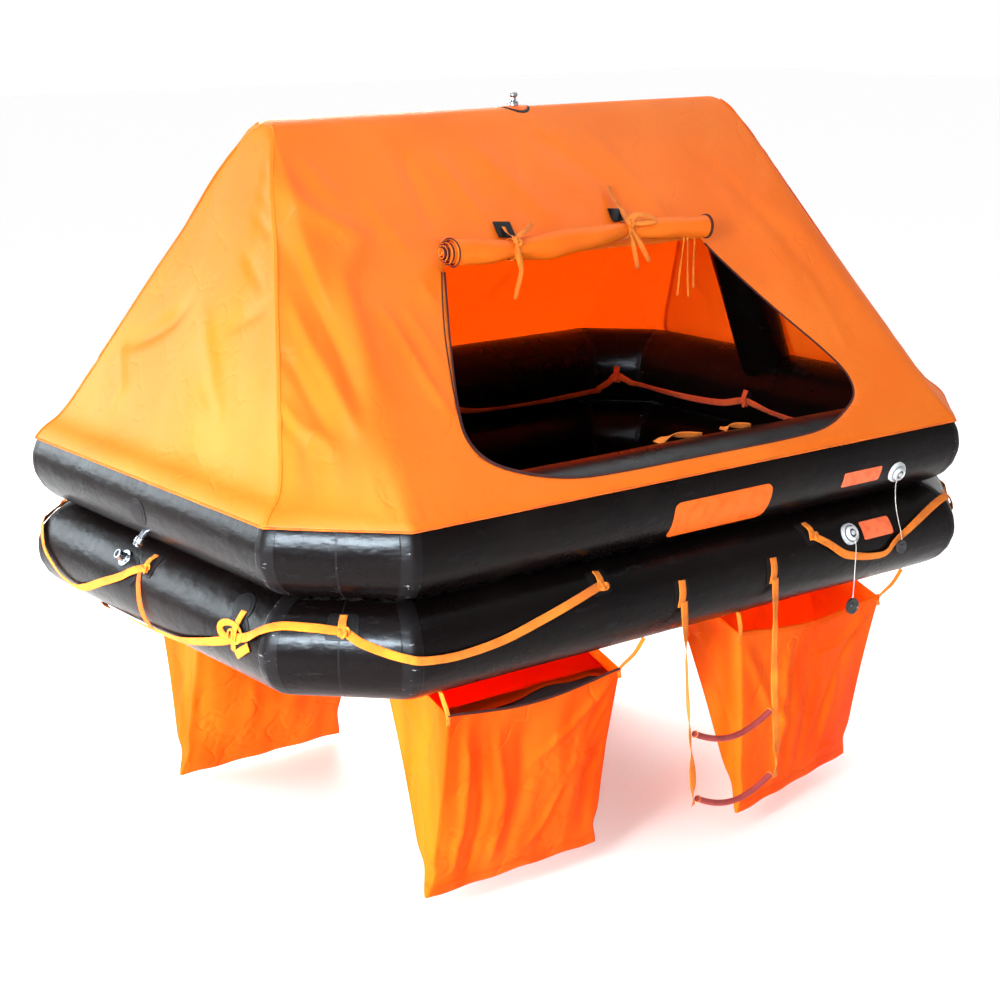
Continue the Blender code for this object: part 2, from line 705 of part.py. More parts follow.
def door_tie(name, x, tail):
    """A patch on the canopy above the roll and a webbing tie that passes over the roll and hangs down."""
    top, down, normal = front_plane()
    patch_end = ROLL_DOWN - ROLL_RADIUS - TIE_PATCH_GAP
    points = []
    for distance in (patch_end - TIE_PATCH_LENGTH, patch_end):
        for side, rise in ((-1, 0), (1, 0), (1, 1), (-1, 1)):
            points.append(door_point(x + side * TIE_PATCH_WIDTH / 2, distance,
                                     CLEARANCE + rise * TIE_PATCH_THICKNESS))
    add_mesh("tie_patch_" + name, points, ring_faces(2, 4, False), "rubber")
    path = [door_point(x, patch_end - TIE_LAP, CLEARANCE * 2 + TIE_PATCH_THICKNESS + TIE_THICKNESS / 2)]
    facing = [normal]
    centre = door_point(x, ROLL_DOWN, ROLL_RADIUS + CLEARANCE)
    for degrees in spaced(TIE_WRAP_FROM, TIE_WRAP_TO, TIE_WRAP_POINTS):
        angle = math.radians(degrees)
        facing.append(normal * math.cos(angle) + down * math.sin(angle))
        path.append(centre + facing[-1] * (ROLL_RADIUS + CLEARANCE + TIE_THICKNESS))
    path.append(path[-1] - Vector((0.0, 0.0, tail)))
    facing.append(Vector((0.0, -1.0, 0.0)))
    ribbon("door_tie_" + name, path, facing, TIE_WIDTH, TIE_THICKNESS, "webbing")


def turned(name, rows, place, axis, finish):
    """A turned body from (radius, height) rows, standing on a place along an axis."""
    side = axis.orthogonal().normalized()
    other = axis.cross(side).normalized()
    points = []
    for radius, height in rows:
        for index in range(ROUND_SIDES):
            angle = math.tau * index / ROUND_SIDES
            outward = side * math.cos(angle) + other * math.sin(angle)
            points.append(place + axis * height + outward * radius)
    return smooth(add_mesh(name, points, ring_faces(len(rows), ROUND_SIDES, False), finish))


def ridge_lamp():
    """A round patch over the ridge seam and the lamp that stands on it."""
    radius = ARCH_RADIUS + SHEET_LIFT + CANOPY_THICKNESS + CLEARANCE
    angles = spaced(90.0 - LAMP_PATCH_ANGLE, 90.0 + LAMP_PATCH_ANGLE, LAMP_PATCH_POINTS)
    points = []
    for x in (-LAMP_PATCH_WIDTH / 2, LAMP_PATCH_WIDTH / 2):
        for lift, line in ((0.0, angles), (LAMP_PATCH_THICKNESS, reversed(angles))):
            for degrees in line:
                angle = math.radians(degrees)
                points.append(Vector((LAMP_X + x, (radius + lift) * math.cos(angle),
                                      ARCH_Z + (radius + lift) * math.sin(angle))))
    add_mesh("lamp_patch", points, ring_faces(2, 2 * LAMP_PATCH_POINTS, False), "canopy")
    foot = Vector((LAMP_X, 0.0, ARCH_Z + radius + LAMP_PATCH_THICKNESS + CLEARANCE))
    rows = [(radius_share * LAMP_RADIUS, height_share * LAMP_HEIGHT)
            for radius_share, height_share in LAMP_PROFILE]
    turned("ridge_lamp", rows, foot, Vector((0.0, 0.0, 1.0)), "lamp")


def pocket_rings(side, left, right, hem_out, hem_depth, skew):
    """Hem and mouth of the pocket's outside, then mouth and hem of its inside, from front left round."""
    rings = []
    for inset, hem_width in ((0.0, POCKET_HEM), (POCKET_WALL, POCKET_HEM_INSIDE)):
        ends = ((left + inset, skew), (right - inset, -skew))
        hem = [(x, hem_out + turn + hem_width / 2) for x, turn in ends]
        hem += [(x, hem_out + turn - hem_width / 2) for x, turn in reversed(ends)]
        mouth = [(x, HALF_WIDTH - inset, -POCKET_FRONT_DROP) for x, turn in ends]
        mouth += [(x, HALF_WIDTH - POCKET_REACH + inset, FLOOR_BOTTOM - CLEARANCE)
                  for x, turn in reversed(ends)]
        rings.append([Vector((x, side * y, inset - hem_depth)) for x, y in hem])
        rings.append([Vector((x, side * y, z)) for x, y, z in mouth])
    hem_outside, mouth_outside, hem_inside, mouth_inside = rings
    return hem_outside + mouth_outside + mouth_inside + hem_inside


def ballast_pocket(name, side, end, corner_gap, middle_gap, hem_in, hem_depth, skew):
    """An open cloth bag under the floor, its mouth facing up and outwards, on two straps from the tube."""
    left, right = sorted((end * (HALF_LENGTH - CORNER_CUT_LENGTH - corner_gap), end * middle_gap))
    points = pocket_rings(side, left, right, HALF_WIDTH - hem_in, hem_depth, skew)
    faces = split_quads(ring_faces(4, 4, False), lambda index: index >= 8)
    pocket = add_mesh("ballast_pocket_" + name, points, faces, "pocket")
    strap_points, strap_faces = [], []
    for x in (left + POCKET_WALL / 2, right - POCKET_WALL / 2):
        base = len(strap_points)
        for y, z in ((HALF_WIDTH - POCKET_WALL / 2, -POCKET_FRONT_DROP - POCKET_STRAP_SEAM),
                     (HALF_WIDTH, -DRAUGHT - CLEARANCE)):
            for dx, dy in ((-1, -1), (1, -1), (1, 1), (-1, 1)):
                strap_points.append(Vector((x + dx * POCKET_STRAP_THICKNESS / 2,
                                            side * y + dy * POCKET_STRAP_WIDTH / 2, z)))
        strap_faces += [tuple(base + corner for corner in face) for face in ring_faces(2, 4, False)]
    straps = add_mesh(pocket.name + "_straps", strap_points, strap_faces, "pocket")
    apply_boolean(pocket, straps, "UNION")


def boarding_ladder():
    """Two webbing straps and two sagging rungs that swing below their patches."""
    strap_y = -(HALF_WIDTH + TUBE_RADIUS + 2 * CLEARANCE + LADDER_PATCH_THICKNESS
                + LADDER_STRAP_THICKNESS / 2)
    top_z = LOWER_Z + TUBE_RADIUS * math.sin(math.radians(LADDER_PATCH_BOTTOM)) + LADDER_STRAP_LAP
    length = RUNG_DROPS[-1][1] + LADDER_STRAP_TAIL
    for name, x, lean in LADDER_STRAPS:
        half = LADDER_PATCH_WIDTH / 2
        ends = [front_position(x + offset, 0.0, LOWER_Z) for offset in (-half, half)]
        points, faces = tube_patch_mesh(ends, spread(LADDER_PATCH_BOTTOM, LADDER_PATCH_TOP), LOWER_Z,
                                        CLEARANCE, CLEARANCE + LADDER_PATCH_THICKNESS)
        add_mesh("ladder_patch_" + name, points, faces, "webbing")
        path = [Vector((x, strap_y, top_z)), Vector((x + lean, strap_y, top_z - length))]
        facing = [Vector((0.0, -1.0, 0.0))] * len(path)
        ribbon("ladder_strap_" + name, path, facing, LADDER_STRAP_WIDTH, LADDER_STRAP_THICKNESS, "webbing")
    for name, drop in RUNG_DROPS:
        ends = []
        for (strap, x, lean), sign in zip(LADDER_STRAPS, (1.0, -1.0)):
            reach = LADDER_STRAP_WIDTH / 2 + CLEARANCE + RUNG_RADIUS * lean / length
            ends.append(x + lean * drop / length + sign * reach)
        start, end = ends[0] + RUNG_RADIUS, ends[1] - RUNG_RADIUS
        path = [Vector((ends[0], strap_y, top_z - drop))]
        for step in range(RUNG_STEPS + 1):
            along = step / RUNG_STEPS
            sag = RUNG_SAG * 4 * along * (1 - along)
            path.append(Vector((start + (end - start) * along, strap_y, top_z - drop - sag)))
        path.append(Vector((ends[1], strap_y, top_z - drop)))
        swept("ladder_rung_" + name, path, RUNG_RADIUS, RUNG_SIDES, "rung")


def plates():
    for name, tube, x_from, x_to, angle_from, angle_to in PLATES:
        centre_z = TUBE_Z[tube]
        middle = (angle_from + angle_to) / 2
        ends = [front_position(x, middle, centre_z) for x in (x_from, x_to)]
        points, faces = tube_patch_mesh(ends, spread(angle_from, angle_to), centre_z,
                                        CLEARANCE, CLEARANCE + PLATE_THICKNESS)
        add_mesh(name, points, faces, "sign" if name.endswith("sign") else "label")


def valves():
    for tube, x, angle in VALVES:
        centre_z = TUBE_Z[tube]
        position = front_position(x, angle, centre_z)
        rows = ((VALVE_RADIUS, -VALVE_ROOT), (VALVE_RADIUS, VALVE_RIM),
                (VALVE_HUB_RADIUS, VALVE_RIM + VALVE_STEP), (VALVE_HUB_RADIUS, VALVE_HEIGHT))
        body = turned("valve_" + tube, rows, tube_point(position, angle, centre_z),
                      tube_normal(position, angle), "valve")
        apply_boolean(body, clearance_ring(tube), "DIFFERENCE")


def smooth_points(route, count):
    """Evenly numbered points of a Catmull-Rom curve through the route."""
    places = [Vector(place) for place in route]
    spans = len(places) - 1
    out = []
    for index in range(count):
        span = min(int(index * spans / (count - 1)), spans - 1)
        share = index * spans / (count - 1) - span
        before, first = places[max(span - 1, 0)], places[span]
        second, after = places[span + 1], places[min(span + 2, spans)]
        out.append(0.5 * (2 * first + (second - before) * share
                          + (2 * before - 5 * first + 4 * second - after) * share ** 2
                          + (3 * first - before - 3 * second + after) * share ** 3))
    return out


def lanyard(name, route):
    curve = bpy.data.curves.new(name, "CURVE")
    curve.dimensions = "3D"
    curve.bevel_depth = CORD_RADIUS
    curve.bevel_resolution = 2
    curve.use_fill_caps = True
    spline = curve.splines.new("POLY")
    line = smooth_points(route, CORD_POINTS)
    spline.points.add(len(line) - 1)
    for point, place in zip(spline.points, line):
        point.co = (*place, 1.0)
    curve.materials.append(material("cord", *FINISHES["cord"]))
    made = bpy.data.objects.new(name, curve)
    bpy.context.collection.objects.link(made)
    return line


def caps_and_lanyards():
    """Each valve's cap, face on to the front, below the end of its lanyard."""
    routes = {"upper": LANYARD_UPPER, "lower": LANYARD_LOWER}
    for tube, radius in CAPS:
        line = lanyard("lanyard_" + tube, routes[tube])
        centre = line[-1] + Vector((0.0, CAP_HEIGHT / 2, -radius - CAP_GAP))
        rows = [(radius_share * radius, height_share * CAP_HEIGHT)
                for radius_share, height_share in CAP_PROFILE]
        turned("valve_cap_" + tube, rows, centre, Vector((0.0, -1.0, 0.0)), "cap")


def fitting(name, place, tube, rows):
    """A turned metal fitting that stands on a tube."""
    foot = tube_point(*place, TUBE_Z[tube])
    body = turned(name, rows, foot, tube_normal(*place), "steel")
    apply_boolean(body, clearance_ring(tube), "DIFFERENCE")


def inflation_fittings():
    fitting("inflation_inlet", INLET_PLACE, "lower", (
        (INLET_FLANGE_RADIUS, -INLET_ROOT), (INLET_FLANGE_RADIUS, INLET_FLANGE_HEIGHT),
        (INLET_RADIUS, INLET_SHOULDER), (INLET_RADIUS, INLET_HEIGHT)))
    fitting("hose_fitting", HOSE_PLACE, "upper", (
        (HOSE_RADIUS, -HOSE_ROOT), (HOSE_RADIUS, HOSE_NUT_START),
        (HOSE_NUT_RADIUS, HOSE_NUT_SHOULDER), (HOSE_NUT_RADIUS, HOSE_HEIGHT)))


def bridle():
    """The bridle's webbing from under the left end to its reinforced patch."""
    curve = with_corners(smooth_row(BRIDLE, WEB_STEP))
    proud = TUBE_RADIUS + WEB_LIFT + WEB_THICKNESS / 2
    seated = TUBE_RADIUS + BRIDLE_PATCH_THICKNESS + 2 * CLEARANCE + WEB_THICKNESS / 2
    path = [tube_point(position, angle, LOWER_Z, proud) for position, angle in curve[:-2]]
    path += [tube_point(position, angle, LOWER_Z, seated) for position, angle in curve[-2:]]
    normals = [corner_normal(position, angle) for position, angle in curve]
    ribbon("bridle", path, normals, WEB_WIDTH, WEB_THICKNESS, "webbing")
    half = BRIDLE_PATCH_SIZE / 2 / side_length(BRIDLE_PATCH)
    sweep = BRIDLE_PATCH_SWEEP / 2
    points, faces = tube_patch_mesh(spaced(BRIDLE_PATCH - half, BRIDLE_PATCH + half, 3),
                                    spread(BRIDLE_PATCH_ANGLE - sweep, BRIDLE_PATCH_ANGLE + sweep), LOWER_Z,
                                    CLEARANCE, BRIDLE_PATCH_THICKNESS)
    add_mesh("bridle_patch", points, faces, "rubber")


def build():
    for old in list(bpy.data.objects):
        bpy.data.objects.remove(old, do_unlink=True)
    buoyancy_tube("lower_tube", LOWER_Z, TUBE_RADIUS)
    buoyancy_tube("upper_tube", UPPER_Z, TUBE_RADIUS)
    arch_tube()
    floor_sheet()
    canopy()
    door_roll()
    ridge_lamp()
    for row in POCKETS:
        ballast_pocket(*row)
    boarding_ladder()
    plates()
    valves()
    caps_and_lanyards()
    inflation_fittings()
    lower_valve_x = {tube: x for tube, x, angle in VALVES}["lower"]
    dip = tuple((front_position(lower_valve_x + along, angle, LOWER_Z), angle)
                for along, angle in LIFELINE_DIP)
    webbing_line("lifeline_rear", dip + LIFELINE_REAR, dip[0][:1] + LIFELINE_REAR_PATCHES, LOWER_Z)
    webbing_line("lifeline_front", LIFELINE_FRONT, LIFELINE_FRONT_PATCHES, LOWER_Z)
    webbing_line("inner_lifeline", INNER_LINE, INNER_LINE_PATCHES, UPPER_Z)
    bridle()


build()
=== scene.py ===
import json
import math
import bmesh
import bpy
import numpy as np
from mathutils import Matrix, Vector


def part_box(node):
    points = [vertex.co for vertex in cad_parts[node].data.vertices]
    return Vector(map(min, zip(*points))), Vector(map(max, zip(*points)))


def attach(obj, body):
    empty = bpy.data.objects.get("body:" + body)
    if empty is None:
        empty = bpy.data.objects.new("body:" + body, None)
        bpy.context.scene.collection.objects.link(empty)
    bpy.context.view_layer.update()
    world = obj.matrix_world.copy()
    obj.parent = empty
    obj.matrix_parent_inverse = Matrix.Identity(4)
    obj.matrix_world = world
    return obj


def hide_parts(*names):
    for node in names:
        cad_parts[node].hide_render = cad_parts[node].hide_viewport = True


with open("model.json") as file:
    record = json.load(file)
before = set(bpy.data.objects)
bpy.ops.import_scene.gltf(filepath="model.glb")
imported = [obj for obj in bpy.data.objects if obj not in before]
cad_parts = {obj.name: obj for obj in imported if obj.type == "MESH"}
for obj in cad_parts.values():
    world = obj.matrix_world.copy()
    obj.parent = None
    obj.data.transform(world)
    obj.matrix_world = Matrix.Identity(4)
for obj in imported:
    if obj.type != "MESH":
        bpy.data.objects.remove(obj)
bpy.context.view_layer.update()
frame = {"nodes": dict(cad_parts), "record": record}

print("frame loaded:", len(frame["nodes"]), "nodes")

# the camera

view = {"azimuth": -37.771, "elevation": 14.678, "roll": -0.271, "place": (-3.907, -4.992, 1.851),
        "lens": 71.689, "sensor": 36, "near": 0.05, "far": 60}


def addObject(name, data):
    made = bpy.data.objects.new(name, data)
    bpy.context.scene.collection.objects.link(made)
    return made


def addCamera():
    # the axis that points back from the raft is the azimuth turned and tipped, and roll then turns right
    # and up about it
    turn, tip, roll = (math.radians(view[name]) for name in ("azimuth", "elevation", "roll"))
    back = Vector((math.sin(turn) * math.cos(tip), -math.cos(turn) * math.cos(tip), math.sin(tip)))
    right = Vector((math.cos(turn), math.sin(turn), 0))
    up = back.cross(right)
    right, up = (math.cos(roll) * right + math.sin(roll) * up, math.cos(roll) * up - math.sin(roll) * right)
    lens = bpy.data.cameras.new("photoView")
    lens.lens = view["lens"]
    lens.sensor_width = view["sensor"]
    lens.clip_start = view["near"]
    lens.clip_end = view["far"]
    placed = addObject("photoView", lens)
    facing = Matrix((right, up, back)).transposed().to_4x4()
    placed.matrix_world = Matrix.Translation(view["place"]) @ facing
    bpy.context.scene.camera = placed


addCamera()

# small tools for materials


class Value:
    # one output of a node; sums on it add Math nodes to the same material
    def __init__(self, finish, output):
        self.finish = finish
        self.output = output

    def __add__(self, other):
        return self.finish.math("ADD", self, other)

    def __radd__(self, other):
        return self.finish.math("ADD", other, self)

    def __sub__(self, other):
        return self.finish.math("SUBTRACT", self, other)

    def __rsub__(self, other):
        return self.finish.math("SUBTRACT", other, self)

    def __mul__(self, other):
        return self.finish.math("MULTIPLY", self, other)

    def __rmul__(self, other):
        return self.finish.math("MULTIPLY", other, self)

    def __abs__(self):
        return self.finish.math("ABSOLUTE", self)

    def step(self, low, high):
        # 0 below low, 1 above high, smooth between
        return self.finish.node("ShaderNodeMapRange", {"interpolation_type": "SMOOTHSTEP"},
                                {"Value": self, "From Min": low, "From Max": high, "To Min": 0, "To Max": 1})


class Finish:
    # a material, its shader and the few nodes that the finishes share
    def __init__(self, name, **constants):
        self.made = bpy.data.materials.new(name)
        self.made.use_nodes = True
        self.tree = self.made.node_tree
        self.shader = self.tree.nodes["Principled BSDF"]
        for socket, value in constants.items():
            self.shader.inputs[socket.replace("_", " ")].default_value = value
        self.place = self.node("ShaderNodeTexCoord", output="Object")

    def node(self, kind, settings=None, inputs=None, output=0):
        made = self.tree.nodes.new(kind)
        for name, value in (settings or {}).items():
            setattr(made, name, value)
        for name, value in (inputs or {}).items():
            self.give(made.inputs[name], value)
        return Value(self, made.outputs[output])

    def give(self, socket, value):
        if isinstance(value, Value):
            self.tree.links.new(value.output, socket)
        else:
            socket.default_value = (*value, 1) if socket.type == "RGBA" else value

    def wire(self, **sockets):
        for name, value in sockets.items():
            self.give(self.shader.inputs[name.replace("_", " ")], value)

    def wired(self, name):
        return Value(self, self.shader.inputs[name].links[0].from_socket)

    def math(self, operation, *values):
        return self.node("ShaderNodeMath", {"operation": operation}, dict(enumerate(values)))

    def carried(self, name):
        return self.node("ShaderNodeAttribute", {"attribute_name": name}, output="Fac")

    def cloth(self):
        return self.node("ShaderNodeUVMap", {"uv_map": "cloth"})

    def axis(self, vector, name):
        return self.node("ShaderNodeSeparateXYZ", None, {0: vector}, name)

    def scaled(self, *sizes):
        return self.node("ShaderNodeVectorMath", {"operation": "MULTIPLY"}, {0: self.place, 1: sizes})

    def noise(self, scale, detail=3.0, vector=None, rough=0.5):
        return self.node("ShaderNodeTexNoise", None, {"Vector": vector or self.place, "Scale": scale,
                                                      "Detail": detail, "Roughness": rough})

    def mix(self, share, first, second):
        return self.node("ShaderNodeMix", {"data_type": "RGBA"}, {0: share, 6: first, 7: second}, 2)

    def bump(self, height, distance, strength, under=None):
        inputs = {"Height": height, "Distance": distance, "Strength": strength}
        if under:
            inputs["Normal"] = under
        return self.node("ShaderNodeBump", None, inputs)

    def weave(self, pitch):
        # two crossed waves of thread, one along each direction of the cloth's own map
        cloth = self.cloth()
        first, second = (self.thread(self.axis(cloth, name), pitch) for name in ("X", "Y"))
        return first * second * 0.5 + 0.5

    def thread(self, way, pitch):
        return self.math("SINE", way * (math.tau / pitch))


def rubberFinish(name, tint=(0.0024, 0.0014, 0.0014), rough=0.2):
    finish = Finish(name, Roughness=rough, Specular_IOR_Level=0.1, Specular_Tint=(0.92, 0.93, 0.96, 1))
    broad, fine = finish.noise(2.2, 2.0), finish.noise(38, 3.0)
    scuffs = finish.noise(1, 4.0, finish.scaled(9, 9, 34), 0.7).step(0.6, 0.74)
    dust = finish.noise(5, 4.0).step(0.52, 0.8)
    colour = finish.mix(broad.step(0.3, 0.75), tint, (tint[0] * 1.8, tint[1] * 1.5, tint[2] * 1.5))
    colour = finish.mix(scuffs * 0.22, colour, (0.03, 0.031, 0.035))
    colour = finish.mix(dust * 0.03, colour, (0.07, 0.06, 0.05))
    skin = finish.noise(420, 1.0)
    ripples = finish.noise(1, 3.0, finish.scaled(7, 7, 19)) + finish.noise(24, 2.0) * 0.3
    shine = rough + broad * 0.12 + scuffs * 0.2 + dust * 0.1 + fine * 0.05
    finish.wire(Base_Color=colour, Roughness=shine,
                Normal=finish.bump(skin * 0.25 + fine * 0.5 + ripples * 4, 0.0016, 0.5))
    return finish


def tubeFinish(name):
    # the rubber, with the lighter taped joints, pale dashes on the tape that are painted glints, and the glue
    # line along the groove
    finish = rubberFinish(name)
    joint = abs(finish.carried("fromJoint"))
    tape = 1 - joint.step(0.022, 0.026)
    edge = 1 - abs(joint - 0.0245).step(0.0008, 0.0028)
    glue = finish.carried("glue") * finish.noise(46, 3.0, finish.scaled(1, 1, 3)).step(0.44, 0.6)
    base, rough, normal = (finish.wired(name) for name in ("Base Color", "Roughness", "Normal"))
    colour = finish.mix(tape * 0.5, base, (0.009, 0.0085, 0.0095))
    # pale dashes on the tape: painted glints, light caught on the tape's wrinkles put into the base colour
    tapeGlints = finish.noise(1, 3.0, finish.scaled(30, 30, 90), 0.75).step(0.64, 0.72) * tape
    colour = finish.mix(tapeGlints * 0.7, colour, (0.26, 0.27, 0.29))
    colour = finish.mix(glue * 0.5, colour, (0.2, 0.19, 0.18))
    finish.wire(Base_Color=colour, Roughness=rough + tape * 0.08 + glue * 0.3,
                Normal=finish.bump(tape + edge * 0.3, 0.0009, 0.8, normal))
    return finish


def clothFinish(name, deep, pale, dirt, glow, thin, rough, gloss, streaks, creased=0.7):
    # coated cloth: slight colour drift, rubbed patches, a fine weave, soft creases, and light that comes
    # through it
    finish = Finish(name, Roughness=rough, Specular_IOR_Level=gloss)
    broad, patchy = finish.noise(1, 2.0, finish.scaled(*streaks)), finish.noise(14, 3.0)
    colour = finish.mix(broad.step(0.3, 0.72), deep, pale)
    colour = finish.mix(patchy.step(0.58, 0.8) * 0.25, colour, dirt)
    seam = finish.carried("seam")
    colour = finish.mix(seam * 0.65, colour, dirt)
    weave = finish.weave(0.0016)
    crumple = finish.noise(9, 4.0, finish.scaled(1, 1, 0.6), 0.6)
    crease = abs(finish.noise(4.5, 3.0) - 0.5).step(0, 0.035)
    bump = finish.bump(weave * 0.12 + crumple * 3.6 + crease * creased + seam * 0.7, 0.0016, 0.55)
    finish.wire(Base_Color=colour, Roughness=rough + patchy * 0.14 - 0.05, Normal=bump)
    through = finish.node("ShaderNodeBsdfTranslucent", None, {"Color": glow, "Normal": bump})
    surface = Value(finish, finish.shader.outputs[0])
    both = finish.node("ShaderNodeMixShader", None, {0: thin, 1: surface, 2: through})
    finish.give(finish.tree.nodes["Material Output"].inputs[0], both)
    return finish


def webbingFinish(name, deep, pale, pitch=0.0022, sheen=0.05, grimy=(0.3, 0.1, 0.02)):
    # ribbed threads across the strap, a herringbone slant and grubby edges
    finish = Finish(name, Roughness=0.75, Specular_IOR_Level=0.2, Sheen_Weight=sheen, Sheen_Roughness=0.5)
    cloth = finish.cloth()
    across, along = finish.axis(cloth, "X"), finish.axis(cloth, "Y")
    rib = finish.thread(along + abs(across - 0.0125) * 0.8, pitch)
    thread = finish.thread(across, pitch * 0.8)
    grime = finish.noise(26, 5.0).step(0.5, 0.74)
    colour = finish.mix(finish.noise(8, 3.0).step(0.3, 0.7), deep, pale)
    colour = finish.mix(rib.step(-1, 1) * 0.35, colour, deep)
    colour = finish.mix(grime * 0.4, colour, grimy)
    finish.wire(Base_Color=colour, Roughness=0.7 + grime * 0.15,
                Normal=finish.bump(rib * 0.5 + thread * 0.3, 0.0007, 0.8))
    return finish


def plasticFinish(name, light, dark, rough=0.35, metal=0.0, gloss=0.5):
    # moulded plastic, film or metal: grime in patches, small scratches, a little grain
    finish = Finish(name, Roughness=rough, Metallic=metal, Specular_IOR_Level=gloss)
    grime = finish.noise(30, 5.0).step(0.42, 0.75)
    lines = finish.noise(1, 4.0, finish.scaled(60, 400, 60), 0.6).step(0.66, 0.74)
    colour = finish.mix(grime * 0.55, light, dark)
    colour = finish.mix(lines * 0.4, colour, light)
    finish.wire(Base_Color=colour, Roughness=rough + grime * 0.2 + lines * 0.1,
                Normal=finish.bump(finish.noise(120, 2.0) + lines * 0.4, 0.0004, 0.35))
    return finish


maroon = (0.02, 0.006, 0.005)
finishes = {
    "tube": tubeFinish("tubeRubber"),
    "rubber": rubberFinish("patchRubber", (0.0045, 0.004, 0.0045), 0.36),
    "floor": rubberFinish("floorRubber", (0.008, 0.0075, 0.008), 0.5),
    "canopy": clothFinish("canopyCloth", (0.95, 0.215, 0.007), (1, 0.262, 0.016), (0.82, 0.155, 0.006),
                          (1, 0.31, 0.02), 0.42, 0.44, 0.22, (2.6, 2.6, 2.6)),
    "pocket": clothFinish("pocketCloth", (0.96, 0.105, 0.001), (1, 0.205, 0.01), (0.84, 0.09, 0.001),
                          (1, 0.21, 0.006), 0.46, 0.5, 0.08, (10, 10, 1.3), 2.4),
    "flap": clothFinish("flapCloth", (0.96, 0.1, 0.001), (1, 0.14, 0.002), (0.84, 0.08, 0.001),
                        (1, 0.15, 0.004), 0.85, 0.5, 0.05, (10, 10, 1.3)),
    # near-black cloth under the left pockets' flaps: painted shade inside the pocket's mouth
    "lining": webbingFinish("pocketMouthShade", (0.014, 0.004, 0.003), (0.026, 0.007, 0.005), 0.003, 0, maroon),
    "webbing": webbingFinish("yellowWebbing", (0.68, 0.15, 0.004), (0.93, 0.255, 0.01)),
    "redWebbing": webbingFinish("redWebbing", (0.75, 0.09, 0.01), (0.95, 0.17, 0.02)),
    "hem": webbingFinish("hemTape", (0.72, 0.12, 0.005), (0.88, 0.17, 0.008), 0.0022, 0),
    "binding": webbingFinish("maroonBinding", (0.04, 0.006, 0.005), (0.075, 0.01, 0.008), 0.0022, 0, maroon),
    "rung": plasticFinish("rungTube", (0.3, 0.04, 0.038), (0.15, 0.018, 0.018), 0.55, gloss=0.25),
    "sign": plasticFinish("signFilm", (0.92, 0.135, 0.01), (0.66, 0.08, 0.006), 0.5, gloss=0.15),
    "label": plasticFinish("labelFilm", (0.9, 0.165, 0.06), (0.6, 0.09, 0.03), 0.5, gloss=0.2),
    "valve": plasticFinish("valvePlastic", (0.52, 0.55, 0.58), (0.24, 0.26, 0.27), 0.3),
    "cap": plasticFinish("capRubber", (0.012, 0.012, 0.013), (0.05, 0.05, 0.05), 0.4),
    "cord": webbingFinish("lanyardCord", (0.55, 0.54, 0.5), (0.85, 0.84, 0.8), 0.0012),
    "metal": plasticFinish("platedMetal", (0.36, 0.37, 0.4), (0.11, 0.11, 0.12), 0.22, 1),
    "lamp": plasticFinish("lampPlastic", (0.72, 0.78, 0.82), (0.42, 0.45, 0.47), 0.12),
}
# each slot with the finishes that it holds, the one that the solids take first
slots = {"tube_rubber": "rubber tube", "floor_cloth": "floor", "canopy_cloth": "canopy hem",
         "pocket_cloth": "pocket flap lining", "webbing": "webbing redWebbing binding", "rung_tube": "rung",
         "sign_film": "sign label", "valve_plastic": "valve", "cap_rubber": "cap", "thin_cord": "cord",
         "plated_metal": "metal", "lamp_plastic": "lamp"}
print("materials made:", len(finishes))

# small tools for shapes


def smoothStep(value, low, high):
    share = np.clip((value - low) / (high - low), 0, 1)
    return share * share * (3 - 2 * share)


def unit(vectors):
    return vectors / np.maximum(np.linalg.norm(vectors, axis=-1, keepdims=True), 1e-9)


def gridPart(points, u, v, away=(0, 0, 0), **carried):
    # a grid of points (rows, columns, 3) as one part, its faces turned to look away from the given point;
    # doubled seams and poles are welded later
    rows, columns = points.shape[:2]
    index = np.arange(rows * columns).reshape(rows, columns)
    faces = np.stack([index[:-1, :-1], index[:-1, 1:], index[1:, 1:], index[1:, :-1]], -1).reshape(-1, 4)
    flat = points.reshape(-1, 3)
    if away is not None:
        a, b, c, d = (flat[faces[:, k]] for k in range(4))
        if (np.cross(c - a, d - b) * ((a + c) / 2 - away)).sum() < 0:
            faces = faces[:, ::-1]
    spread = lambda value: np.broadcast_to(value, (rows, columns)).reshape(-1)
    return {"points": flat, "faces": faces, "uv": np.stack([spread(u), spread(v)], -1),
            "carried": {name: spread(value) for name, value in carried.items()}}


def makePiece(name, parts, look, instead="", body="raft", thick=0.0, soft=True, edit=None):
    # joins the parts into one mesh, welds them, and finishes the piece; a number for soft is the angle in
    # degrees above which an edge stays sharp
    points, faces, uv = (np.vstack([part[key] for part in parts]) for key in ("points", "faces", "uv"))
    sizes = [len(part["points"]) for part in parts]
    starts = np.cumsum([0] + sizes[:-1])
    faces = faces + np.repeat(starts, [len(part["faces"]) for part in parts])[:, None]
    mesh = bpy.data.meshes.new(name)
    mesh.from_pydata(points.tolist(), [], faces.tolist())
    layer = mesh.uv_layers.new(name="cloth")
    corner = np.zeros(len(mesh.loops), np.int32)
    mesh.loops.foreach_get("vertex_index", corner)
    layer.data.foreach_set("uv", uv[corner].astype(np.float32).ravel())
    for key in sorted({key for part in parts for key in part["carried"]}):
        values = [part["carried"].get(key, np.zeros(size)) for part, size in zip(parts, sizes)]
        kept = mesh.attributes.new(key, "FLOAT", "POINT")
        kept.data.foreach_set("value", np.concatenate(values).astype(np.float32))
    shape = bmesh.new()
    shape.from_mesh(mesh)
    bmesh.ops.remove_doubles(shape, verts=shape.verts, dist=2e-6)
    result = edit(shape) if edit else None
    shape.to_mesh(mesh)
    shape.free()
    made = addObject(name, mesh)
    mesh.materials.append(finishes[look].made)
    mesh.shade_smooth()
    if soft is not True:
        mesh.set_sharp_from_angle(angle=math.radians(soft))
    if thick:
        wall = made.modifiers.new("wall", "SOLIDIFY")
        wall.thickness = thick
        wall.offset = -1
        wall.use_even_offset = False
    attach(made, body)
    if instead:
        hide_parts(*instead.split())
    return (made, result) if edit else made


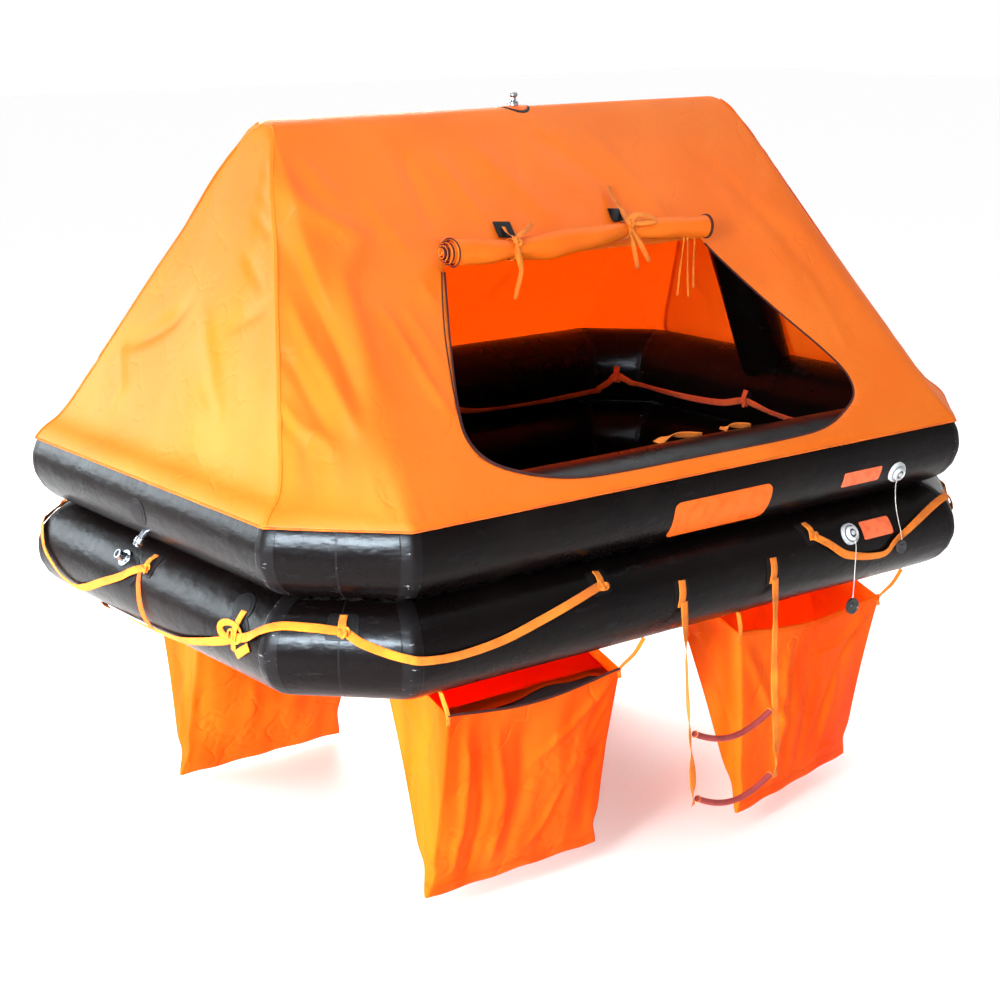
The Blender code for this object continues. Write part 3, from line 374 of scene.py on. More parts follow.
def lengthAlong(line):
    return np.concatenate([[0], np.cumsum(np.linalg.norm(np.diff(line, axis=0), axis=1))])


def spreadEvenly(line, count):
    run = lengthAlong(line)
    at = np.linspace(0, run[-1], count)
    return np.stack([np.interp(at, run, column) for column in line.T], -1)


def curveThrough(rows, count):
    # a Catmull-Rom curve through the rows, then points at even distances along it
    rows = np.asarray(rows, float)
    padded = np.vstack([2 * rows[0] - rows[1], rows, 2 * rows[-1] - rows[-2]])
    share = np.linspace(0, 1, 24, endpoint=False)[:, None]
    a, b, c, d = (padded[k:len(padded) - 3 + k][:, None, :] for k in range(4))
    dense = 0.5 * (2 * b + (c - a) * share + (2 * a - 5 * b + 4 * c - d) * share ** 2
                   + (3 * b - a - 3 * c + d) * share ** 3)
    return spreadEvenly(np.vstack([dense.reshape(-1, rows.shape[1]), rows[-1:]]), count)


def tangentsOf(line):
    return unit(np.gradient(line, axis=0))


def capped(line, rows, ends, u):
    # rows of points carried along a line, closed to a point at both ends
    first, last = (np.repeat(end[None, None], rows.shape[1], 1) for end in ends)
    run = lengthAlong(line)
    run = np.concatenate([run[:1], run, run[-1:]])[:, None]
    return gridPart(np.concatenate([first, rows, last]), u, run)


def strap(line, normals, width, thick, twist=0.0):
    # a flat ribbon: a rounded rectangle carried along the line, broad side to the normals, turned by twist
    # (radians)
    along = tangentsOf(line)
    across = unit(np.cross(along, np.broadcast_to(normals, line.shape)))
    lift = unit(np.cross(across, along))
    twist = np.broadcast_to(twist, len(line))[:, None]
    across, lift = (across * np.cos(twist) + lift * np.sin(twist),
                    lift * np.cos(twist) - across * np.sin(twist))
    half, rise = width / 2, thick / 2
    bevel = 0.3 * rise / half
    under = [(-1, 0), (-1 + bevel, -0.85), (-0.5, -1), (0, -1), (0.5, -1), (1 - bevel, -0.85)]
    outline = np.array(under + [(-x, -y) for x, y in under] + under[:1])
    rows = (line[:, None] + across[:, None] * outline[None, :, :1] * half
            + lift[:, None] * outline[None, :, 1:] * rise)
    return capped(line, rows, rows[[0, -1]].mean(1), (outline[:, 0] + 1) * half)


def rod(line, radius, sides, up=(0, 0, 1)):
    # a round profile carried along a line; radius may change along it
    along = tangentsOf(line)
    across = unit(np.cross(along, np.broadcast_to(up, along.shape)))
    lift = np.cross(across, along)
    turn = np.linspace(0, math.tau, sides + 1)
    radius = np.broadcast_to(radius, len(line))
    spokes = across[:, None] * np.cos(turn)[:, None] + lift[:, None] * np.sin(turn)[:, None]
    return capped(line, line[:, None] + spokes * radius[:, None, None], line[[0, -1]], turn * radius.mean())


def turned(profile, place, axis, sides, ripple=None):
    # a profile of (radius, height) rows turned about an axis; ripple(radius, height, turn) may change the
    # radius
    profile = np.asarray(profile, float)
    axis = unit(np.asarray(axis, float))
    side = unit(np.cross(axis, (0.3, 0.1, 0.95) if abs(axis[2]) < 0.9 else (1, 0, 0)))
    other = np.cross(axis, side)
    turn = np.linspace(0, math.tau, sides + 1)
    radius = np.broadcast_to(profile[:, :1], (len(profile), sides + 1))
    if ripple:
        radius = ripple(radius, profile[:, 1:], turn[None, :])
    spoke = side * np.cos(turn)[:, None] + other * np.sin(turn)[:, None]
    rows = np.asarray(place, float) + radius[..., None] * spoke[None] + profile[:, 1][:, None, None] * axis
    return gridPart(rows, turn * profile[:, 0].max(), lengthAlong(profile)[:, None])


def ring(centre, axis, radius, thick, sides, around):
    # a torus: a small circle carried round a large one
    small = np.linspace(0, math.tau, around + 1)
    return turned(np.stack([radius + thick * np.cos(small), thick * np.sin(small)], -1), centre, axis, sides)


def roundedOutline(width, height, corner):
    # a rectangle with round corners, as points at even distances
    turn = np.linspace(0, math.tau, 384, endpoint=False)
    half = np.array([width / 2 - corner, height / 2 - corner])
    spoke = np.stack([np.cos(turn), np.sin(turn)], -1)
    spot = spoke * corner + np.sign(spoke) * half
    return spreadEvenly(np.vstack([spot, spot[:1]]), 97)


def rotated(u, v, tilt):
    return u * math.cos(tilt) - v * math.sin(tilt), u * math.sin(tilt) + v * math.cos(tilt)


def film(width, height, corner, tilt, rings, thick, surface):
    # rings (share, rise) that shrink to the middle of a rounded outline, laid on surface(u, v, rise); the
    # outer rings roll down over the film's edge
    u, v = rotated(*(roundedOutline(width, height, corner).T[:, None] * rings[:, :1]), tilt)
    return gridPart(surface(u, v, rings[:, 1:] * thick), u + width / 2, v + height / 2)


def knot(centre, size, width, facing, turn):
    # a trefoil of webbing pressed flat against what it lies on
    facing = unit(np.asarray(facing, float))
    side = unit(np.cross((0, 0, 1), facing))
    top = np.cross(facing, side)
    t = np.linspace(0, math.tau, 91)
    x, y = rotated(np.sin(t) + 2 * np.sin(2 * t), np.cos(t) - 2 * np.cos(2 * t), turn)
    rise = 0.0042 * (1.2 - np.sin(3 * t[:, None]))
    line = centre + size / 3 * (x[:, None] * side + y[:, None] * top) + rise * facing
    return strap(line, facing, width, 0.0022, 0.25 * np.sin(2 * t))


# the cords: each valve cap hangs on its own lanyard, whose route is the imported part's own

lanyards = {
    "Upper": {"length": 0.2, "cap": 0.021, "route": (
        (0.784, -0.9723, 0.3269), (0.784, -0.9694, 0.3194), (0.7842, -0.9662, 0.3101), (0.785, -0.9648, 0.29),
        (0.787, -0.9655, 0.255), (0.79, -0.97, 0.22), (0.793, -0.9768, 0.19), (0.7955, -0.985, 0.16),
        (0.7975, -0.9899, 0.131))},
    "Lower": {"length": 0.19, "cap": 0.026, "route": (
        (0.585, -0.9823, 0.1704), (0.585, -0.9858, 0.1632), (0.5846, -0.9898, 0.1542),
        (0.584, -0.9915, 0.135), (0.583, -0.992, 0.105), (0.5815, -0.9922, 0.065), (0.58, -0.9922, 0.025),
        (0.578, -0.9922, -0.0165))},
}
lanyardRadius = 0.0013
capProfile = ((0, 0), (0.93, 0), (1, 0.0012), (1, 0.0085), (0.94, 0.0095), (0.8, 0.0095), (0.76, 0.0075),
              (0.42, 0.0072), (0.38, 0.009), (0.36, 0.0115), (0.3, 0.012), (0, 0.012))


def valveCap(name, radius):
    # a ribbed disc with a sunk ring and a stub, turned about the line that faces forward
    node = "valve_cap_" + name.lower()
    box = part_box(node)
    middle = (box[0] + box[1]) / 2
    profile = np.array(capProfile) * (radius * 0.985, 1)
    ribbed = lambda r, h, t: r * (1 + 0.018 * np.sin(28 * t) * (r > radius * 0.93))
    part = turned(profile, (middle.x, box[1].y, middle.z), (0, -1, 0), 56, ribbed)
    return makePiece("valveCap" + name, [part], "cap", node, soft=35)


def hangCaps():
    for name, facts in lanyards.items():
        cap = valveCap(name, facts["cap"])
        line = curveThrough(facts["route"], 90)
        part = rod(line, lanyardRadius, 12, (0, 1, 0))
        made = makePiece("lanyard" + name, [part], "cord", "lanyard_" + name.lower())


hangCaps()
print("cords made:", len(lanyards))

# the tubes' own coordinates: place counts the eight corners, run is metres round, degrees go up from the
# level outside

hull = {"cornerAlong": 0.203, "cornerAcross": 0.207}
lowBox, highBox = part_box("lower_tube"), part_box("upper_tube")
tubeRadius = (lowBox[1].z - lowBox[0].z) / 2
lowerZ, upperZ = ((box[0].z + box[1].z) / 2 for box in (lowBox, highBox))
halfLength, halfWidth = lowBox[1].x - tubeRadius, lowBox[1].y - tubeRadius
straight, sideways = halfLength - hull["cornerAlong"], halfWidth - hull["cornerAcross"]
corners = np.array([(-halfLength, -sideways), (-straight, -halfWidth), (straight, -halfWidth),
                    (halfLength, -sideways), (halfLength, sideways), (straight, halfWidth),
                    (-straight, halfWidth), (-halfLength, sideways)])
onward = np.roll(corners, -1, 0) - corners
sideRun = np.linalg.norm(onward, axis=1)
sideNormal = np.stack([onward[:, 1], -onward[:, 0]], -1) / sideRun[:, None]
cornerOut = np.roll(sideNormal, 1, 0) + sideNormal
cornerOut /= (cornerOut * sideNormal).sum(1, keepdims=True)
runAt = np.concatenate([[0], np.cumsum(sideRun)])
wholeRun = runAt[-1]


def placeAt(run):
    return np.interp(np.mod(run, wholeRun), runAt, np.arange(9))


def runOf(place):
    return np.interp(np.mod(place, 8), np.arange(9), runAt) + np.floor(np.asarray(place) / 8) * wholeRun


def onTube(place, degrees, centreZ, radius=tubeRadius):
    # mitred rings at the two corners beside each place, reached out along the line that halves the corner,
    # and mixed
    values = (np.asarray(value, float) for value in (place, degrees, centreZ, radius))
    place, degrees, centreZ, radius = np.broadcast_arrays(*values)
    first = np.floor(place).astype(int)
    share = (place - first)[..., None]
    flat = (radius * np.cos(np.radians(degrees)))[..., None]
    here, there = (corners[k % 8] + cornerOut[k % 8] * flat for k in (first, first + 1))
    level = centreZ + radius * np.sin(np.radians(degrees))
    return np.concatenate([here * (1 - share) + there * share, level[..., None]], -1)


def softTube(run, degrees, centreZ, radius=tubeRadius, spread=0.008):
    # the tube's point averaged with its neighbours along the run, which rounds the corners
    taps = ((-2, 1), (-1, 4), (0, 6), (1, 4), (2, 1))
    return sum(onTube(placeAt(run + k * spread), degrees, centreZ, radius) * share for k, share in taps) / 16


def tubeNormal(run, degrees):
    # the side's outward direction, averaged over a short run so that it turns smoothly at the corners
    sides = (np.floor(placeAt(run + shift)).astype(int) % 8 for shift in (-0.02, -0.01, 0, 0.01, 0.02))
    flat = unit(sum(sideNormal[side] for side in sides))
    angle = np.radians(np.broadcast_to(degrees, np.shape(run)))
    return np.concatenate([flat * np.cos(angle)[..., None], np.sin(angle)[..., None]], -1)


def frontRun(x, degrees=0.0):
    # the run on the front tube whose surface point has this x
    reach = tubeRadius * math.cos(math.radians(degrees))
    left, right = (corners[k][0] + cornerOut[k][0] * reach for k in (1, 2))
    return runAt[1] + (np.asarray(x) - left) / (right - left) * sideRun[1]


def middleX(node):
    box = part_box(node)
    return (box[0].x + box[1].x) / 2


filmRings = np.array([(0, 1), (0.25, 1), (0.5, 1), (0.75, 1), (0.9, 1), (0.97, 0.97), (1, 0.7), (1, -0.2),
                      (0, -0.2)])


def tubeFilm(run, degrees, width, height, centreZ, thick, corner, tilt=0.0):
    # a film whose u goes along the run and whose v goes up the tube
    laid = lambda u, v, rise: softTube(run + u, degrees + np.degrees(v / tubeRadius), centreZ,
                                       tubeRadius + rise, 0.004)
    return film(width, height, corner, tilt, filmRings, thick, laid)


def stripOn(run, degrees, height, width, centreZ, tilt, bulge):
    # a short webbing strip laid up the tube and bulged in its middle, where a line runs under it
    share = np.linspace(-0.5, 0.5, 22)
    up = share * height
    lift = 0.0028 + bulge * np.cos(np.pi * share) ** 2 * (np.abs(share) < 0.5)
    across = run + up * math.sin(tilt)
    angle = degrees + np.degrees(up * math.cos(tilt) / tubeRadius)
    line = softTube(across, angle, centreZ, tubeRadius + lift, 0.003)
    return strap(line, tubeNormal(across, angle), width, 0.002)


# the two buoyancy tubes

tubes = {"around": 72, "fine": 0.005, "coarse": 0.022, "fineWithin": 0.075, "inside": 0.003,
         "outside": 0.0011, "uneven": 0.0009, "smaller": 0.0006, "jointReach": 0.045, "pinch": 0.0022}


def buoyancyTube(name, centreZ, glueAngle):
    # rows are fine at the corners, where the joints pucker most on the side that faces the raft's middle
    fineWithin = tubes["fineWithin"]
    near = [runAt[k] + np.arange(-fineWithin, fineWithin, tubes["fine"]) for k in range(8)]
    far = np.arange(0, wholeRun, tubes["coarse"])
    far = far[np.abs(far[:, None] - runAt[None]).min(1) > fineWithin + 0.008]
    run = np.sort(np.mod(np.concatenate([*near, far]), wholeRun))
    run = np.concatenate([run, run[:1] + wholeRun])[:, None]
    degrees = np.linspace(0, 360, tubes["around"] + 1)[None, :]
    nearest = np.abs(run - runAt[None]).argmin(1)[:, None]
    gap, corner = run - runAt[nearest], nearest % 8
    joint = np.exp(-(gap / tubes["jointReach"]) ** 2)
    turn = np.radians(degrees)
    inner = 0.5 - 0.5 * np.cos(turn)
    pucker = (np.sin(17 * turn + corner * 1.7) + 0.7 * np.sin(23 * turn + corner * 2.9 + 1)
              + 0.6 * np.sin(9 * turn + corner * 4.1)) / 2.3
    wrinkle = joint * pucker * (tubes["outside"] + (tubes["inside"] - tubes["outside"]) * inner ** 2)
    uneven = (np.sin(run * 5.3 + 2 * turn) * np.sin(run * 2.1 - turn + centreZ * 9)
              + 0.6 * np.sin(run * 11.7 + 3 * turn))
    pinch = -tubes["pinch"] * np.exp(-(gap / 0.012) ** 2) * (0.35 + 0.65 * inner)
    radius = tubeRadius - tubes["smaller"] + wrinkle + tubes["uneven"] * uneven * 0.5 + pinch
    points = softTube(run, degrees, centreZ, radius, 0.005)
    glue = np.exp(-((np.abs((degrees - glueAngle + 180) % 360 - 180) - 7) / 3) ** 2)
    part = gridPart(points, run, turn * tubeRadius, fromJoint=gap, glue=glue)
    makePiece(name, [part], "tube", name.replace("Tube", "_tube"))


buoyancyTube("lowerTube", lowerZ, 90)
buoyancyTube("upperTube", upperZ, 270)
print("tubes made")

# the arch tube that carries the ridge

arch = {"radius": 0.089, "topZ": 1.367, "topX": 0.8293, "lean": 0.404, "footZ": 0.43, "bend": 0.11,
        "sides": 48, "legRows": 46, "bendRows": 14, "ridgeRows": 40, "pucker": 0.0014, "uneven": 0.0006,
        "jointReach": 0.06}


def archTube():
    # straight legs and ridge with parabolic bends; the round profile is pinched and puckered at the bends
    footX = arch["topX"] + arch["lean"] * (arch["topZ"] - arch["footZ"])
    corner = np.array([arch["topX"], 0, arch["topZ"]])
    foot = np.array([footX, 0, arch["footZ"]])
    legEnd, ridgeEnd = (corner + arch["bend"] * way for way in (unit(foot - corner), np.array([-1.0, 0, 0])))
    share = np.linspace(0, 1, arch["bendRows"])[:, None]
    bend = legEnd * (1 - share) ** 2 + 2 * corner * share * (1 - share) + ridgeEnd * share ** 2
    half = np.vstack([np.linspace(foot, legEnd, arch["legRows"])[:-1], bend,
                      np.linspace(ridgeEnd, (0, 0, arch["topZ"]), arch["ridgeRows"])[1:]])
    line = np.vstack([half, (half * (-1, 1, 1))[::-1][1:]])
    run = lengthAlong(line)
    middle = arch["legRows"] - 1 + arch["bendRows"] // 2
    joint = np.abs(run[:, None] - run[[middle, -middle - 1]][None]).min(1)[:, None]
    along = tangentsOf(line)
    side = np.broadcast_to((0, 1.0, 0), along.shape)
    lift = np.cross(side, along)
    turn = np.linspace(0, math.tau, arch["sides"] + 1)[None, :]
    wave = np.sin(11 * turn) + 0.6 * np.sin(7 * turn + 1.3)
    radius = (arch["radius"] + arch["pucker"] * wave * np.exp(-(joint / arch["jointReach"]) ** 2)
              + arch["uneven"] * np.sin(run[:, None] * 17 + turn * 2))
    spokes = side[:, None] * np.cos(turn)[..., None] + lift[:, None] * np.sin(turn)[..., None]
    rings = line[:, None] + radius[..., None] * spokes
    first, last = (np.repeat(end[None, None], arch["sides"] + 1, 1) for end in line[[0, -1]])
    rows = [0, *range(len(line)), -1]
    part = gridPart(np.concatenate([first, rings, last]), run[rows][:, None], turn * arch["radius"],
                    fromJoint=joint[rows], glue=0)
    makePiece("archTube", [part], "tube", "arch_tube")


archTube()

# the floor

floor = {"level": 0.0122, "pucker": 0.0022, "rows": 241, "thick": 0.0012}


def floorSheet():
    # rings that shrink towards the middle from the tube's inner underside, with shallow puckers that fade
    # inwards
    angle = 180 - math.degrees(math.asin((floor["level"] - lowerZ) / tubeRadius))
    run = np.linspace(0, wholeRun, floor["rows"])[None, :]
    share = np.concatenate([np.linspace(0, 0.9, 22), np.linspace(0.92, 1, 7)])[:, None]
    points = softTube(run, angle, lowerZ, tubeRadius + 0.001, 0.01) * share[..., None]
    wave = np.sin(run * 14 + 3 * share) * 0.6 + np.sin(run * 37 + 1) * 0.4 * share ** 6
    points[..., 2] = (floor["level"] + floor["pucker"] * wave * share ** 3 * (1 - smoothStep(share, 0.97, 1))
                      + 0.0012 * np.sin(share * 9) * np.sin(run * 1.6))
    part = gridPart(points, points[..., 0], points[..., 1])
    made = makePiece("floorSheet", [part], "floor", "floor_sheet", thick=floor["thick"])


floorSheet()
print("arch and floor made")

# the canopy: one sheet over the arch, down to the upper tube and a hand's width round it

canopy = {"outer": 0.1456, "arcRadius": 0.0957, "arcEnd": 45, "hem": 30, "endX": 0.8935, "endLean": 0.404,
          "ridgeZ": 1.4627, "rowsArc": 6, "rowsSlope": 60, "rowsTube": 12, "sag": 0.01, "thick": 0.0014,
          "columns": (22, 140, 22, 64, 22, 140, 22, 90), "ripple": 0.0016, "hemRipple": 0.0007,
          "bendRows": (1.84, 2.45), "bendPasses": 22, "hemSeam": 2.86, "endRound": 0.034,
          "endPull": 0.0075, "endDrop": 0.0085}
# the degrees at which the slope touches the upper tube, at places 0 to 8
touchAngles = (70, 50, 50, 70, 70, 50, 50, 70, 70)
# the front slope: its top, the way down it and the way off it
frontTop, frontDown = np.array([0, 0, 1.5077]), np.array([0, -0.6822, -0.7312])
frontNormal = np.array([0, -0.7312, 0.6822])


def canopyAt(place, down):
    # three stretches joined: an arc over the arch tube (down 0 to 1), a straight slope to where it touches
    # the tube (to 2), an arc round the tube (to 3); the ridge's ends fan out to the corner and end columns
    place, down = np.broadcast_arrays(np.asarray(place, float), np.asarray(down, float))
    across = np.interp(place, (0, 3, 4, 7, 8), (-1, -1, 1, 1, -1))
    for first, way in ((3, -1), (7, 1)):
        within = (place > first) & (place < first + 1)
        across = np.where(within, way * np.cos(np.pi * (place - first)), across)
    along = np.interp(place, (0, 1, 2, 5, 6, 8), (-1, -1, 1, 1, -1, -1))
    turn = np.radians(90 - (90 - canopy["arcEnd"]) * np.clip(down, 0, 1))
    z = canopy["ridgeZ"] - canopy["arcRadius"] * (1 - np.sin(turn))
    x = along * (canopy["endX"] + canopy["endLean"] * (canopy["ridgeZ"] - z))
    arc = np.stack([x, across * canopy["arcRadius"] * np.cos(turn), z], -1)
    touch = np.interp(place, range(9), touchAngles)
    angle = touch + (canopy["hem"] - touch) * np.clip(down - 2, 0, 1)
    share = np.clip(down - 1, 0, 1)[..., None]
    return arc * (1 - share) + onTube(place, angle, upperZ, canopy["outer"]) * share


def canopySoft(run, down):
    # the same averaged along the run with a cosine window: narrow at the seams, broad in mid slope at the
    # seamless corners
    run, down = np.broadcast_arrays(np.asarray(run, float), np.asarray(down, float))
    slope = np.sin(np.pi * np.clip(down - 1, 0, 1))
    gap = np.abs(np.mod(run, wholeRun)[..., None] - runAt[[1, 2, 5, 6]]).min(-1)
    broad = np.exp(-(gap / 0.17) ** 2) * slope ** 0.6
    wide = 0.008 + 0.016 * slope ** 3 + 0.13 * broad
    taps = np.linspace(-1, 1, 17)
    weights = 1 + np.cos(np.pi * taps)
    rows = (canopyAt(placeAt(run + tap * wide), down) * weight for tap, weight in zip(taps, weights))
    return sum(rows) / weights.sum()


def distanceTo(points, line):
    # the distance from each point to a polyline, and how far along it (0 to 1) the nearest spot is
    best, where = np.full(points.shape[:-1], 9.0), np.zeros(points.shape[:-1])
    run = lengthAlong(line) / max(lengthAlong(line)[-1], 1e-9)
    for k in range(len(line) - 1):
        leg = line[k + 1] - line[k]
        share = np.clip(((points - line[k]) @ leg) / max(leg @ leg, 1e-12), 0, 1)
        gap = np.linalg.norm(points - (line[k] + share[..., None] * leg), axis=-1)
        closer = gap < best
        best = np.where(closer, gap, best)
        where = np.where(closer, run[k] + share * (run[k + 1] - run[k]), where)
    return best, where


def foldField(points, folds, surface):
    # a rounded ridge or valley along each fold's line, fading at its ends; only points near the line are
    # worked out
    height = np.zeros(points.shape[:-1])
    for width, rise, *row in folds:
        line = surface(curveThrough(np.reshape(row, (-1, 2)), 14))
        near = ((points > line.min(0) - 3 * width) & (points < line.max(0) + 3 * width)).all(-1)
        gap, where = distanceTo(points[near], line)
        fade = smoothStep(where, -0.04, 0.22) * (1 - smoothStep(where, 0.78, 1.04))
        height[near] += rise * np.exp(-(gap / width) ** 2) * fade
    return height


# soft folds on the cloth: width and rise in metres, then place and down of each point on its line
frontFolds = (
    (0.035, 0.01, 0.167, 1.054, 1.022, 1.232, 1.029, 1.417, 1.024, 1.579, 1.017, 1.73),
    (0.022, 0.008, 0.233, 1.448, 0.45, 1.571, 0.65, 1.68, 0.801, 1.826),
    (0.02, 0.007, 0.017, 1.749, 0.233, 1.811, 0.484, 1.846, 0.55, 1.903),
    (0.03, 0.005, 1.031, 1.066, 1.052, 1.151, 1.081, 1.232),
    (0.025, 0.004, 1.124, 1.181, 1.141, 1.278, 1.164, 1.367),
    (0.017, 0.007, 1.074, 1.467, 1.091, 1.579, 1.105, 1.703, 1.122, 1.807),
    (0.018, 0.0045, 1.114, 1.49, 1.131, 1.602, 1.136, 1.695),
    (0.018, 0.004, 1.16, 1.429, 1.167, 1.514),
    (0.018, -0.007, 0.033, 1.614, 0.25, 1.672, 0.517, 1.819),
    (0.016, -0.0055, 0.017, 1.776, 0.15, 1.849),
    (0.03, -0.005, 1.224, 1.054, 1.224, 1.317),
    (0.025, -0.009, 0.45, 1.309, 0.817, 1.544, 0.901, 1.772),
    (0.012, -0.0045, 0.267, 1.896, 0.45, 1.931),
    (0.012, -0.0045, 0, 1.954, 0.1, 1.927),
    (0.011, 0.0032, 0.05, 1.8, 0.11, 1.88, 0.16, 1.98),
    (0.01, 0.0032, 0.12, 1.79, 0.18, 1.87, 0.24, 1.97),
    (0.01, -0.003, 0.2, 1.83, 0.27, 1.92, 0.31, 2.02),
    (0.011, 0.003, 0.78, 1.93, 0.84, 2.05, 0.86, 2.4),
    (0.011, -0.003, 0.86, 1.92, 0.91, 2.05, 0.93, 2.4),
    (0.04, 0.007, 0.3, 1.1, 0.55, 1.25, 0.85, 1.5),
    (0.05, -0.007, 0.2, 1.25, 0.55, 1.45, 0.8, 1.62),
    (0.045, 0.0055, 1.35, 1.06, 1.42, 1.2, 1.46, 1.34),
    (0.04, -0.0045, 1.5, 1.05, 1.6, 1.22, 1.62, 1.36),
)
doorFolds = (
    (0.024, 0.0065, 1.276, 1.073, 1.303, 1.181, 1.329, 1.305),
    (0.013, -0.0035, 1.496, 1.019, 1.436, 1.158, 1.381, 1.293),
    (0.016, 0.003, 1.515, 1.012, 1.536, 1.066),
    (0.011, -0.004, 1, 1.96, 1.01, 2.55),
    (0.011, -0.004, 1.026, 1.96, 1.031, 2.7),
    (0.011, -0.004, 1.048, 1.97, 1.057, 2.6),
    (0.03, 0.005, 1.62, 1.03, 1.66, 1.2, 1.7, 1.4),
    (0.028, -0.0045, 1.83, 1.1, 1.9, 1.35, 1.93, 1.62),
    (0.02, 0.005, 1.3, 1.93, 1.42, 1.97, 1.55, 1.96),
)
endFolds = (
    (0.034, -0.011, 7.064, 1.73, 7.226, 1.656, 7.392, 1.529, 7.384, 1.432, 7.369, 1.22),
    (0.022, -0.0055, 7.638, 1.089, 7.973, 1.174),
    (0.022, -0.0055, 7.611, 1.151, 7.973, 1.243),
    (0.022, -0.0055, 7.634, 1.228, 7.973, 1.313),
    (0.022, -0.0055, 7.646, 1.351, 7.769, 1.413, 7.885, 1.459),
    (0.022, -0.0055, 7.63, 1.602, 7.777, 1.548, 7.95, 1.494),
    (0.022, -0.0055, 7.588, 1.768, 7.707, 1.853),
    (0.03, -0.007, 7.53, 1.94, 7.646, 1.955, 7.746, 1.965),
    (0.022, 0.0055, 7.072, 1.722, 7.157, 1.799, 7.222, 1.869),
    (0.04, 0.006, 7.484, 1.529, 7.646, 1.749, 7.711, 1.911),
)
backFolds = (
    (0.04, -0.008, 4.95, 1.1, 5.2, 1.4, 5.3, 1.8),
    (0.035, 0.007, 5.35, 1.05, 5.48, 1.45, 5.5, 1.85),
    (0.045, -0.007, 5.8, 1.06, 5.72, 1.5, 5.78, 1.9),
)
# folds, width and rise as shares of theirs, then way and start for place, stretch and drop for down: the
# right and back panels fold much as the front and left ones do, the other way round and a little less
foldSets = (
    (frontFolds, 1, 1.55, 1, 0, 1, 0),
    (doorFolds, 1, 1, 1, 0, 1, 0),
    (endFolds, 0.85, 1.35, 1, 0, 1, 0),
    (backFolds, 1, 1.5, 1, 0, 1, 0),
    (frontFolds, 1, 0.8, -1, 7, 1, 0),
    (endFolds, 1, 0.9, -1, 11, 1, 0),
    (frontFolds[:6], 1.2, 0.4, -1, 3, 0.97, 0.05),
    (frontFolds[1:6], 1, 0.6, 1, 4, 0.98, 0),
)
canopyFolds = []
for folds, wide, high, way, start, stretch, drop in foldSets:
    for width, rise, *row in folds:
        line = np.reshape(row, (-1, 2)) * (way, stretch) + (start, drop)
        canopyFolds.append((width * wide, rise * high, *line.ravel()))

# the door's edge as (x, metres down the front slope)
doorOutline = np.array([
    (-0.553, 0.61), (-0.592, 0.7), (-0.67, 0.88), (-0.74, 1.06), (-0.765, 1.17), (-0.731, 1.25),
    (-0.635, 1.305), (-0.5, 1.345), (-0.35, 1.357), (0, 1.358), (0.35, 1.357), (0.506, 1.345),
    (0.616, 1.305), (0.702, 1.25), (0.722, 1.17), (0.677, 1.06), (0.578, 0.88), (0.484, 0.7),
    (0.447, 0.61)])


def frontFlat(points):
    # x and the metres down the front slope
    return np.stack([points[..., 0], (points - frontTop) @ frontDown], -1)


def insideOutline(points, outline):
    # even-odd count of the outline's edges that lie to one side of each point
    x, y = points[..., 0], points[..., 1]
    inside = np.zeros(x.shape, bool)
    for (xa, ya), (xb, yb) in zip(outline, np.roll(outline, -1, 0)):
        if ya != yb:
            inside ^= ((ya > y) != (yb > y)) & (x < (xb - xa) * (y - ya) / (yb - ya) + xa)
    return inside


def clothRise(points, run, down, isEnd):
    # how far the cloth stands off its smooth surface: its sag between the tubes, the folds, and ripples
    slope = np.clip(down - 1, 0, 1)
    span = np.mod(placeAt(run), 4)
    middle = 1 - np.abs((span - 1.5) / 1.5) ** 4
    across = np.where(span <= 3, middle, 1 - np.abs(2 * (span - 3) - 1) ** 3)
    # the end panels lie on the arch's legs and sink only beside them
    onLeg = smoothStep(np.abs(points[..., 1]), 0.05, 0.19)
    rise = -canopy["sag"] * np.sin(np.pi * slope) ** 1.2 * across * np.where(isEnd, onLeg, 1)
    laid = lambda rows: canopySoft(runOf(np.clip(rows[:, 0], 0, 7.999)), rows[:, 1])
    folded = foldField(points, canopyFolds, laid)
    rise = rise + folded * np.where(isEnd & (folded < 0), 0.15 + 0.85 * onLeg, 1)
    lap = run * (math.tau / wholeRun)
    ripple = np.sin(lap * 38 + 2 * slope) * 0.4 + np.sin(lap * 21 + 5 * slope + 1.3)
    hemWave = np.sin(lap * 78) * 0.5 + np.sin(lap * 36 + 1)
    return (rise + canopy["ripple"] * ripple * np.sin(np.pi * slope)
            + canopy["hemRipple"] * hemWave * smoothStep(down, 2.4, 3))


